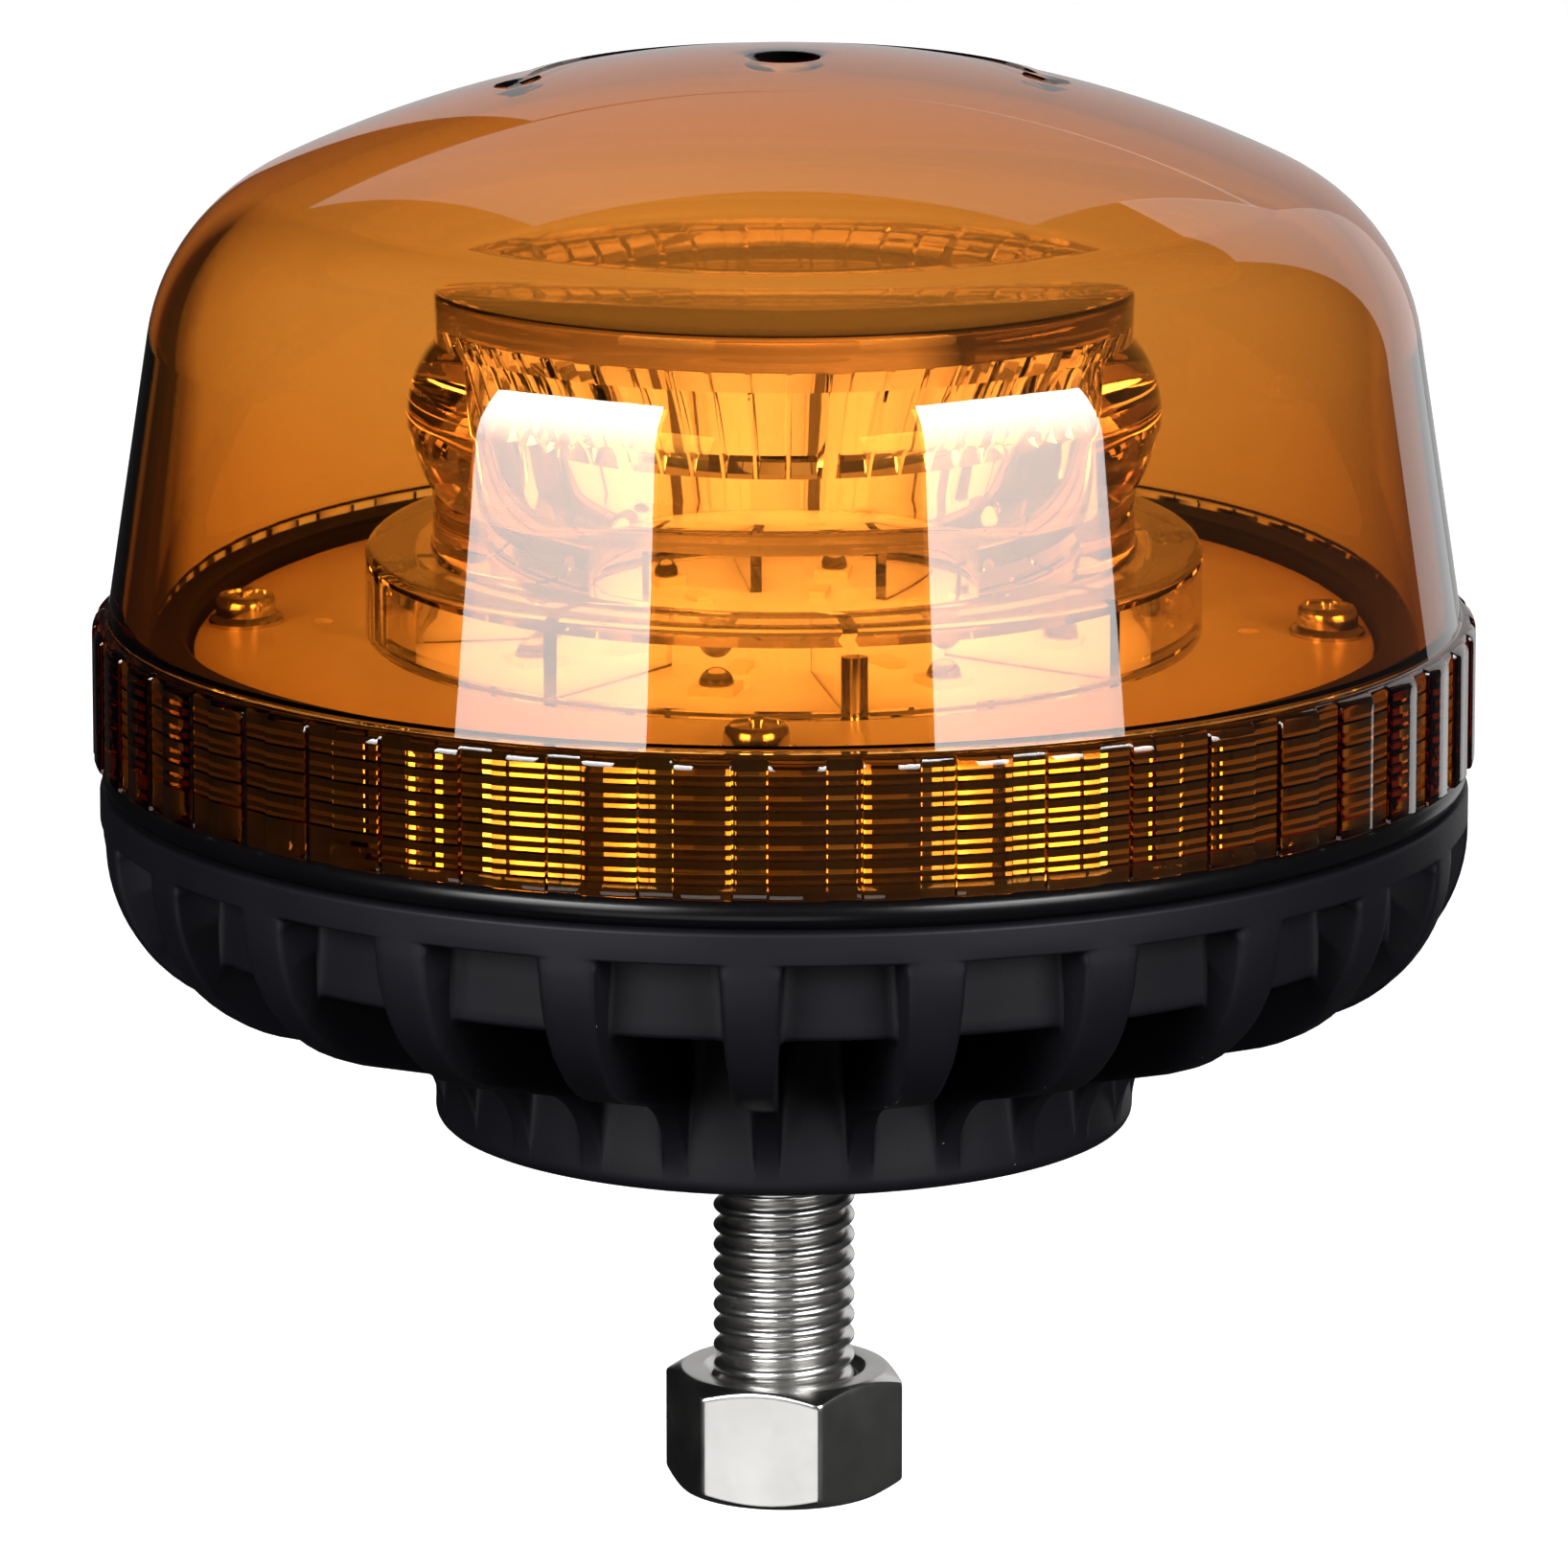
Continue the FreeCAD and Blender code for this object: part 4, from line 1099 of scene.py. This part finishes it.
    def inside(self) -> Profile:
        """From the ledge over the thread up the inner wall to the axis.

        Returns:
            Points of radius and height.
        """
        shoulder, crown_z, meet = self.arcs()
        bend = arc(shoulder, self.shoulder_r - self.wall, self.draft, meet, 12)
        inner = bend[0][0] + (bend[0][1] - self.band_top) * math.tan(math.radians(self.draft))
        under, across, over = self.ledge_round
        run = [(self.bore, self.band_top - under), (self.bore - across, self.band_top),
               (inner + across, self.band_top), (inner, self.band_top + over)]
        run += bend
        run += arc((0.0, crown_z), self.crown_r - self.wall, meet, 90.0, 16)[1:]
        return run[:-1] + [(0.0, self.top - self.wall)]

    def facing(self, r: np.ndarray, z: np.ndarray) -> np.ndarray:
        """Slope of the crown, shoulder and wall, outside and inside, and of nothing else.

        Args:
            r: Radius of each point.
            z: Height of each point.

        Returns:
            The slope's radius and height for each point.
        """
        shoulder, crown_z, _ = self.arcs()
        on_wall, on_end, on_arc = self.fit
        from_crown = np.stack([r, z - crown_z], axis=1)
        from_shoulder = np.stack([r - shoulder[0], z - shoulder[1]], axis=1)
        out = np.zeros_like(from_crown)
        for side, thick, wall_angle in ((1.0, 0.0, self.lean), (-1.0, self.wall, self.draft)):
            far, near = self.crown_r - thick, self.shoulder_r - thick
            steep = math.radians(wall_angle)
            wall = np.array([math.cos(steep), math.sin(steep)])
            up_wall = (z > self.band_top + on_wall) & (z < shoulder[1] + near * math.sin(steep) + on_end)
            on_flat = up_wall & (np.abs(from_shoulder @ wall - near) < on_wall)
            for member, slope in (
                    (on_flat, np.broadcast_to(wall, out.shape)),
                    (np.abs(np.hypot(*from_shoulder.T) - near) < on_arc, from_shoulder / near),
                    (np.abs(np.hypot(*from_crown.T) - far) < on_arc, from_crown / far)):
                free = member & ~out.any(axis=1)
                out[free] = side * slope[free]
        near_gate = (r < self.gate_r + self.gate_clear) & (z > self.top - self.wall / 2)
        out[near_gate] = 0.0
        return out

    def build(self) -> None:
        """Sweeps the wall round once, with pads outside and the thread inside."""
        pitch = 360.0 / self.pad_count
        angles = [(k * pitch + angle, raised) for k in range(self.pad_count) for angle, raised in self.pad]
        first = min(angles, key=lambda item: abs((item[0] - self.thread_start) % 360.0))
        start = angles.index(first)
        ordered = angles[start:] + [(angle + 360.0, raised) for angle, raised in angles[:start + 1]]
        columns = []
        for angle, raised in ordered:
            turn = (angle - ordered[0][0]) / 360.0
            mouth = [(self.bore + off, self.band_low) for off in self.mouth]
            run = self.outside(raised, angle) + mouth + self.thread(turn) + self.inside()
            columns.append(upright(run, angle))
        mesh = welded(quads("lens", np.stack(columns), False))
        show(mesh, "lens_dome_amber", AMBER, Body.LENS, ("lens_dome",), 40.0)
        polished(mesh, self.facing)


@dataclass
class LensSeal:
    """Round-edged rubber ring between the dome's band and the rim."""

    outer: float = 57.2
    bore: float = 54.55
    low: float = 29.0
    high: float = 31.6
    edge: float = 1.2

    def build(self) -> None:
        """Turns the ring."""
        middle, edge = self.outer - self.edge, self.edge
        outline = [(self.bore, self.low)] + arc((middle, self.low + edge), edge, -90.0, 0.0, 9)
        outline += arc((middle, self.high - edge), edge, 0.0, 90.0, 9) + [(self.bore, self.high)]
        ring = lathed("seal", outline, 288)
        show(ring, "lens_seal_ring", SEAL_RUBBER, Body.SEAL, ("lens_seal",))


@dataclass
class BoardScrews:
    """Cross-recessed flange screws at the board's edge."""

    count: int = 4
    circle: float = 45.8
    seat: float = 41.0
    shank_r: float = 1.65
    length: float = 12.0
    flange_r: float = 3.3
    flange: float = 0.7
    head_r: float = 2.65
    head: float = 2.0
    arm: float = 0.45           # half the width of the recess's arms
    arm_reach: float = 1.7
    recess: float = 1.35
    recess_fall: float = 0.25   # share of its depth that the recess loses towards an arm's end
    recess_round: tuple[float, float] = (0.12, 0.3)     # over which the arms' sides and ends slope
    crown: float = 0.55         # share of the head's height that its round top takes
    crown_reach: float = 0.86   # share of the head's radius that the round top covers
    crown_fall: float = 0.35    # share of its own height that it loses there
    soft: float = 0.12          # rounds the flange's inner and outer edges

    def sunk(self, x: float, y: float) -> float:
        """How deep the cross recess is at a point of the head.

        Args:
            x: Distance across from the screw's axis.
            y: Distance along from the screw's axis.

        Returns:
            The depth, zero outside the recess.
        """
        side_round, end_round = self.recess_round
        short, long = sorted((abs(x), abs(y)))
        side = min(1.0, max(0.0, (self.arm - short) / side_round + 0.5))
        end = min(1.0, max(0.0, (self.arm_reach - long) / end_round + 0.5))
        return self.recess * side * end * (1.0 - self.recess_fall * long / self.arm_reach)

    def build(self) -> None:
        """Shapes one screw and rings it about the board."""
        top, rise = self.flange + self.head, self.head * self.crown
        radii = np.linspace(0.0, self.head_r * self.crown_reach, 20)
        dome = [(r, top - rise * self.crown_fall * (r / self.head_r) ** 2) for r in radii]
        side = [(self.head_r * 0.95, top - rise * 0.5), (self.head_r, top - rise),
                (self.head_r, self.flange + 0.1), (self.head_r + self.soft, self.flange),
                (self.flange_r - self.soft, self.flange * 0.72), (self.flange_r, self.flange * 0.45),
                (self.flange_r, 0.0), (self.shank_r, 0.0), (self.shank_r, -self.length), (0.0, -self.length)]
        columns = []
        for angle in np.linspace(0.0, 360.0, 73):
            points = upright(dome + side, angle)
            points[:len(dome), 2] -= [self.sunk(x, y) for x, y, _ in points[:len(dome)]]
            columns.append(points + np.array([0.0, -self.circle, self.seat]))
        screw = welded(quads("screw", np.stack(columns), False))
        ring = grown(screw, ring_tree(), Count=self.count, First_angle=0.0, Finish=ZINC.material())
        show(ring, "board_screws_flanged", ZINC, Body.BASE, ("board_screws",), 30.0)


@dataclass
class RingOptic:
    """Clear ring optic: foot, neck, bulge and disc outside, a toothed funnel over webbed cells inside."""

    cells: int = 8
    turn: float = -10.2         # of the first cell's middle from the front
    seat: float = 41.0
    foot_r: float = 35.2
    foot_bore: float = 31.0
    foot_top: float = 48.5
    foot_edge: float = 0.8
    neck_r: float = 29.5
    neck_top: float = 53.4
    neck_fillet: float = 0.25
    bulge: tuple[float, float] = (31.5, 60.2)
    disc_r: float = 28.95
    disc_foot: float = 67.3
    disc_edge: float = 0.6
    top: float = 72.1
    ceiling: float = 68.7
    ceiling_dip: float = 2.5    # degrees that the ceiling falls towards the axis
    funnel_r: float = 27.65
    slope: float = 50.0
    eye_r: float = 16.5
    cell_top: float = 46.4
    web: float = 1.25
    bump_circle: float = 23.8
    bump_r: float = 1.9
    bump_drop: float = 2.5
    teeth: int = 6
    tooth_angle: float = 6.9
    tooth_span: float = 5.9
    tooth_depth: float = 0.8
    tooth_height: float = 10.4
    tooth_bevel: float = 1.1
    # A tooth's side: degrees out from its edge, then share of its height
    tooth_flank: tuple[tuple[float, float], ...] = ((0.14, 0.0), (0.04, 0.25), (-0.06, 0.75), (-0.2, 1.0))
    tooth_flat: float = 0.9     # degrees from its edge to the plain middle
    web_marks: tuple[float, float, float] = (0.7, 1.45, 1.5)    # degrees of its columns from its middle
    web_clear: float = 2.3      # degrees from a web's middle that the teeth keep out of
    # Where rows of points lie: radii on disc, foot, cell and ceiling, heights on the foot's side and the
    # eye, and depths in the bore
    disc_rows: tuple[float, ...] = (0.0, 6.0, 13.0, 19.0, 24.0)
    foot_rows: tuple[float, ...] = (31.0, 32.5, 33.7)
    seat_row: float = 33.0
    cell_rows: tuple[tuple[float, ...], ...] = ((30.5, 29.0, 27.0), (20.5, 18.5, 17.0))
    ceiling_rows: tuple[float, ...] = (25.5, 22.0, 17.0, 11.0, 5.0, 0.0)
    side_rows: tuple[float, ...] = (46.5, 44.5, 42.5)
    eye_rows: tuple[float, ...] = (47.0, 49.5, 52.5)
    bore_rows: tuple[float, ...] = (5.2, 3.5, 1.8, 0.3, 0.0)

    def bulge_run(self, steps: int) -> Profile:
        """The bulge from the disc down to the neck, round through its fullest point.

        Args:
            steps: How many points, both ends counted.

        Returns:
            Points of radius and height.
        """
        ends = np.array([(self.disc_r, self.disc_foot), self.bulge, (self.neck_r, self.neck_top)])
        grid = np.column_stack([2 * ends, np.ones(3)])
        middle_r, middle_z, rest = np.linalg.solve(grid, (ends ** 2).sum(axis=1))
        radius = math.sqrt(rest + middle_r ** 2 + middle_z ** 2)
        start, end = [math.degrees(math.atan2(z - middle_z, r - middle_r)) for r, z in (ends[0], ends[2])]
        return arc((middle_r, middle_z), radius, start, end, steps)

    def outside(self) -> Profile:
        """From the middle of the disc's top down to the foot's lower edge and in to its bore.

        Returns:
            Points of radius and height.
        """
        edge, foot, fillet = self.disc_edge, self.foot_edge, self.neck_fillet
        run = [(r, self.top) for r in self.disc_rows]
        run += arc((self.disc_r - edge, self.top - edge), edge, 90.0, 0.0, 6)
        run += [(self.disc_r, z) for z in np.linspace(self.top - edge - 0.8, self.disc_foot + 0.8, 4)]
        run += self.bulge_run(34)
        run += [(self.neck_r, z) for z in np.linspace(self.neck_top - 0.8, self.foot_top + 1.0, 4)]
        run += arc((self.neck_r + fillet, self.foot_top + fillet), fillet, 180.0, 270.0, 5)
        run += [(r, self.foot_top) for r in self.foot_rows]
        run += arc((self.foot_r - foot, self.foot_top - foot), foot, 90.0, 0.0, 7)
        run += [(self.foot_r, z) for z in (*self.side_rows, self.seat + 0.3)]
        return run + [(r, self.seat) for r in (self.foot_r - 0.15, self.seat_row, self.foot_bore + 0.1)]

    def cell_run(self) -> Profile:
        """The foot's bore and the cell's ceiling in to the eye.

        Returns:
            Points of radius and height, close together where the bump hangs.
        """
        outer, inner = self.cell_rows
        fine = np.linspace(self.bump_circle + self.bump_r, self.bump_circle - self.bump_r, 15)
        run = [(self.foot_bore, self.cell_top - depth) for depth in self.bore_rows]
        return run + [(r, self.cell_top) for r in (*outer, *fine, *inner, self.eye_r)]

    def funnel_run(self, raised: float) -> Profile:
        """The eye, the funnel and the ceiling in to the axis.

        Args:
            raised: Share of a tooth's height, zero between two teeth.

        Returns:
            Points of radius and height.
        """
        steep = math.radians(self.slope)
        low = self.ceiling - (self.funnel_r - self.eye_r) * math.tan(steep)
        length = (self.ceiling - low) / math.sin(steep)
        start = length - self.tooth_height / math.sin(steep)
        run = [(self.eye_r, z) for z in (*self.eye_rows, low - 0.3)]
        for along in (0.3, start * 0.5, start, *np.linspace(start + self.tooth_bevel, length, 16)):
            out = self.tooth_depth * raised * min(1.0, max(0.0, (along - start) / self.tooth_bevel))
            r = self.eye_r + along * math.cos(steep) - out / math.sin(steep)
            run.append((r, min(self.ceiling, low + along * math.sin(steep))))
        fall = math.tan(math.radians(self.ceiling_dip))
        return run + [(r, self.ceiling - (self.funnel_r - r) * fall) for r in self.ceiling_rows]

    def columns(self) -> list[tuple[float, float, bool]]:
        """Lays out the columns of one cell, from the middle of one web to the next.

        Returns:
            Angle from the cell's middle, share of a tooth's height and whether it stands in a web.
        """
        half, edge = 180.0 / self.cells, self.tooth_span / 2
        first = -self.tooth_angle * (self.teeth - 1) / 2
        marks = []
        for k in range(self.teeth):
            middle = first + k * self.tooth_angle
            for side in (-1, 1):
                marks += [(middle + side * (edge + off), share) for off, share in self.tooth_flank]
            flat = edge - self.tooth_flat
            marks += [(middle + off, 1.0) for off in np.linspace(-flat, flat, 6)]
        inner = half - self.web_clear
        teeth = [(angle, share, False) for angle, share in sorted(marks) if abs(angle) < inner]
        web = [(-half + off, 0.0, True) for off in (0.0, *self.web_marks[:2])]
        web.append((-half + self.web_marks[2], 0.0, False))
        return web + teeth + [(-angle, share, webbed) for angle, share, webbed in reversed(web)]

    def column(self, angle: float, raised: float, webbed: bool) -> np.ndarray:
        """One column of points; a web's sides stay parallel and a bump hangs over the LED.

        Args:
            angle: Angle from the cell's middle.
            raised: Share of a tooth's height.
            webbed: Whether the column stands in a web.

        Returns:
            Array of points in space.
        """
        outside, cell = self.outside(), np.array(self.cell_run())
        angles = np.full(len(cell), angle)
        half = 180.0 / self.cells
        near_web = half - abs(angle)
        if 0.0 < near_web < self.web_clear:
            share = near_web / self.web_marks[2]
            angles = np.sign(angle) * (half - np.degrees(np.arcsin(self.web / 2 / cell[:, 0])) * share)
        if webbed:
            cell[:, 1] = self.seat
        else:
            across = np.radians(angles)
            off = np.hypot(cell[:, 0] * np.cos(across) - self.bump_circle, cell[:, 0] * np.sin(across))
            drop = self.bump_drop * np.sqrt(np.maximum(0.0, 1.0 - (off / self.bump_r) ** 2))
            drop[:len(self.bore_rows)] = 0.0
            cell[:, 1] -= drop
        return np.concatenate([
            upright(outside, angle), upright(cell, angles), upright(self.funnel_run(raised), angle)])

    def build(self) -> None:
        """Shapes one cell's sector and rings it."""
        sector = quads("optic_sector", np.stack([self.column(*spot) for spot in self.columns()]), False)
        ring = grown(sector, ring_tree(), Count=self.cells, First_angle=math.radians(self.turn),
                     Finish=ACRYLIC.material())
        show(ring, "ring_optic_clear", ACRYLIC, Body.BASE, ("ring_optic",), 25.0)


@dataclass
class Internals:
    """Pieces whose frame shape is already right: LEDs, board, driver parts and small fasteners."""

    smooth: tuple[tuple[str, Finish, str], ...] = (("led_domes", SILICONE, "led_silicone"),)
    plain: tuple[tuple[str, Finish], ...] = (
        ("led_board", WHITE_MASK), ("led_packages", LED_CERAMIC), ("led_resistors", LED_CERAMIC),
        ("power_inductor", FERRITE), ("driver_chip", BLACK_EPOXY), ("power_diodes", BLACK_EPOXY),
        ("bulk_capacitors", ALUMINIUM), ("lead_terminal", GREEN_NYLON), ("optic_screws", ZINC),
        ("keeper_screws", ZINC), ("bolt_keeper", STAINLESS), ("bolt_seal", GROMMET_RUBBER),
        ("cable_grommet", GROMMET_RUBBER))

    def build(self) -> None:
        """Smooths the clear pieces and dresses the rest where they stand."""
        for node, finish, slot in self.smooth:
            mesh = welded(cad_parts[node].data.copy())
            show(mesh, node + "_clear", finish, Body.BASE, (node,), 25.0)
        for node, finish in self.plain:
            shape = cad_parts[node].data
            shape.materials.clear()
            shape.materials.append(finish.material())
            LOG.info("%s: %s", node, finish.name)


@dataclass(frozen=True)
class Panel:
    """A soft light panel that stands upright and faces the beacon."""

    name: str
    azimuth: float          # from the front, in degrees
    distance: float
    middle: float           # height of its middle
    width: float
    height: float
    low: float              # radiance at its foot
    high: float             # radiance at its top
    through: bool = False   # whether it is seen through the clear pieces


@dataclass
class Studio:
    """Pale floor, soft lights and the camera at the photograph's angle."""

    elevation: float = 12.5
    azimuth: float = 2.7
    distance: float = 1.0
    aim: float = 0.0284
    focal_pixels: float = 12418.0
    image: float = 1636.0
    sensor: float = 36.0
    floor_z: float = -0.0445
    floor_r: float = 4.0
    panels: tuple[Panel, ...] = (
        Panel("left_softbox", -35.2, 0.7, 0.21, 0.404, 0.42, 2.8, 27.5, True),
        Panel("right_softbox", 42.7, 0.7, 0.21, 0.404, 0.42, 2.8, 26.5, True),
        Panel("back_high", 182.75, 0.9, 0.825, 0.682, 0.65, 0.5, 0.5),
        Panel("back_low", 177.5, 0.9, 0.15, 0.499, 0.7, 0.5, 0.5),
        Panel("front_card", -12.0, 0.7, -0.3, 0.6, 0.3, 1.6, 1.6),
        Panel("right_panel", 150.0, 0.9, 0.284, 0.383, 1.0, 0.85, 0.85))
    # Backdrop as the dome shows it: between two bearings right of straight back, its level goes from the
    # third number to the fourth
    backdrop: tuple[tuple[float, float, float, float], ...] = (
        (-23.0, -16.0, 0.12, 1.32), (-10.0, 12.0, 1.0, 0.6), (14.0, 34.0, 1.0, 0.5))
    # Likewise as the line of sight rises
    backdrop_rise: tuple[float, float, float, float] = (0.02, 0.2, 1.0, 0.75)
    # Likewise from the sides to behind the camera, and from left to right as the faces mirror it
    room: tuple[float, float, float, float] = (-0.3, -0.8, 0.03, 0.3)
    sides: tuple[float, float, float, float] = (-0.5, 0.5, 0.007, 0.045)
    # Light that the optic gathers onto the board under it: radius, height and radiance of a hidden lamp
    gathered: tuple[float, float, float] = (0.0305, 0.0462, 3.3)
    gathered_colour: str = "#ebb978"
    bounces: int = 24
    clear_bounces: int = 20

    def around(self, azimuth: float, distance: float, z: float) -> Vector:
        """A point about the beacon, at an azimuth counted from the front."""
        turn = math.radians(FRONT + azimuth)
        return Vector((distance * math.cos(turn), distance * math.sin(turn), z))

    def camera(self) -> None:
        """Places the camera."""
        data = bpy.data.cameras.new("camera")
        data.sensor_width = self.sensor
        data.lens = self.focal_pixels / self.image * self.sensor
        rise = math.radians(self.elevation)
        camera = bpy.data.objects.new("camera", data)
        bpy.context.scene.collection.objects.link(camera)
        camera.location = self.around(self.azimuth, self.distance * math.cos(rise),
                                      self.aim + self.distance * math.sin(rise))
        inward = Vector((0.0, 0.0, self.aim)) - camera.location
        camera.rotation_euler = inward.to_track_quat("-Z", "Y").to_euler()
        bpy.context.scene.camera = camera

    def lights(self) -> None:
        """Hangs the soft panels, some of them brighter towards the top, and the lamp under the optic."""
        for panel in self.panels:
            lamp = self.lamp(panel.name, "RECTANGLE", panel.width, panel.height, panel.low, panel.high)
            lamp.location = self.around(panel.azimuth, panel.distance, panel.middle)
            inward = Vector((-lamp.location.x, -lamp.location.y, 0.0))
            lamp.rotation_euler = inward.to_track_quat("-Z", "Y").to_euler()
            lamp.visible_transmission = panel.through
        radius, height, radiance = self.gathered
        size = 2 * radius
        under = self.lamp("gathered_light", "DISK", size, size, radiance, radiance, self.gathered_colour)
        under.location = (0.0, 0.0, height)
        under.visible_transmission = False
        under.visible_glossy = False

    def lamp(self, name: str, shape: str, width: float, height: float, low: float, high: float,
             colour: str = "#ffffff") -> bpy.types.Object:
        """An area light that the camera doesn't see.

        Args:
            name: The light's name.
            shape: Blender's name for its outline.
            width: Its size across.
            height: Its size upwards.
            low: Radiance at its foot.
            high: Radiance at its top.
            colour: Colour of its light.

        Returns:
            The light, at the origin and facing down.
        """
        data = bpy.data.lights.new(name, "AREA")
        data.shape = shape
        data.size, data.size_y = width, height
        data.energy = math.pi * width * height * (math.pi / 4 if shape == "DISK" else 1.0)
        data.use_nodes = True
        tree = data.node_tree
        tree.nodes.clear()
        across = add_node(tree, "ShaderNodeNewGeometry").outputs["Parametric"]
        up = add_node(tree, "ShaderNodeSeparateXYZ", {0: across}).outputs["Y"]
        level = add_node(tree, "ShaderNodeMapRange", {"Value": up, "To Min": low, "To Max": high})
        glow = add_node(tree, "ShaderNodeEmission", {"Color": linear(colour), "Strength": level.outputs[0]})
        add_node(tree, "ShaderNodeOutputLight", {0: glow.outputs[0]})
        lamp = bpy.data.objects.new(name, data)
        bpy.context.scene.collection.objects.link(lamp)
        lamp.visible_camera = False
        return lamp

    def floor(self) -> None:
        """Lays the floor, which is near white however it is lit."""
        z = self.floor_z / MM
        mesh = lathed("floor", [(0.0, z), (self.floor_r / MM, z)], 96, False)
        material = bpy.data.materials.new("pale studio floor")
        material.use_nodes = True
        tree = material.node_tree
        tree.nodes.clear()
        paint = add_node(tree, "ShaderNodeBsdfDiffuse", {"Color": linear("#c8c8c8")})
        glow = add_node(tree, "ShaderNodeEmission", {"Color": linear("#ffffff"), "Strength": 0.9})
        both = add_node(tree, "ShaderNodeAddShader", {0: paint.outputs[0], 1: glow.outputs[0]})
        add_node(tree, "ShaderNodeOutputMaterial", {"Surface": both.outputs[0]})
        material.cycles.emission_sampling = "NONE"
        mesh.materials.append(material)
        floor = bpy.data.objects.new("floor", mesh)
        bpy.context.scene.collection.objects.link(floor)
        floor.visible_glossy = False
        floor.visible_diffuse = False
        floor.visible_transmission = False

    def surroundings(self) -> None:
        """White to the camera, a pale backdrop seen through the dome, and dark sides."""
        world = bpy.data.worlds.new("studio")
        bpy.context.scene.world = world
        world.use_nodes = True
        tree = world.node_tree
        tree.nodes.clear()
        path = add_node(tree, "ShaderNodeLightPath").outputs
        back = add_node(tree, "ShaderNodeNewGeometry").outputs["Incoming"]
        ahead = add_node(tree, "ShaderNodeVectorMath", {0: back, "Scale": -1.0}, operation="SCALE")
        way = add_node(tree, "ShaderNodeSeparateXYZ", {0: ahead.outputs[0]}).outputs
        turn = add_node(tree, "ShaderNodeMath", {0: way["X"], 1: way["Y"]}, operation="ARCTAN2").outputs[0]
        bearing = add_node(tree, "ShaderNodeMath", {0: turn}, operation="DEGREES").outputs[0]
        measures = [(bearing, span) for span in self.backdrop]
        measures += [(way["Z"], self.backdrop_rise), (way["Y"], self.room), (way["X"], self.sides)]
        backdrop, *shares, room, sides = [
            add_node(tree, "ShaderNodeMapRange", {"Value": value, **dict(zip(SPAN, span))}).outputs[0]
            for value, span in measures]
        for share in shares:
            both = add_node(tree, "ShaderNodeMath", {0: backdrop, 1: share}, operation="MULTIPLY")
            backdrop = both.outputs[0]
        seen = add_node(tree, "ShaderNodeMath", {0: backdrop, 1: room}, operation="MAXIMUM")
        through = add_node(tree, "ShaderNodeMix", {
            0: path["Is Transmission Ray"], 2: sides, 3: seen.outputs[0]})
        level = add_node(tree, "ShaderNodeMath", {
            0: path["Is Camera Ray"], 1: through.outputs[0]}, operation="MAXIMUM")
        glow = add_node(tree, "ShaderNodeBackground", {
            "Color": linear("#ffffff"), "Strength": level.outputs[0]})
        add_node(tree, "ShaderNodeOutputWorld", {"Surface": glow.outputs[0]})

    def build(self) -> None:
        """Sets up the studio and how its light is shown."""
        self.camera()
        self.lights()
        self.floor()
        self.surroundings()
        scene = bpy.context.scene
        scene.view_settings.view_transform = "Standard"
        scene.cycles.max_bounces = self.bounces
        scene.cycles.transmission_bounces = self.clear_bounces
        scene.cycles.transparent_max_bounces = self.bounces


def main() -> None:
    """Builds the beacon piece by piece, then the studio, and notes the sizes."""
    logging.basicConfig(level=logging.INFO, format="%(name)s: %(message)s")
    parts = (FinnedBase(), BoltAndNut(), LensSeal(), LensDome(), BoardScrews(), RingOptic(), Internals())
    for part in (*parts, Studio()):
        part.build()


if __name__ == "__main__":
    main()
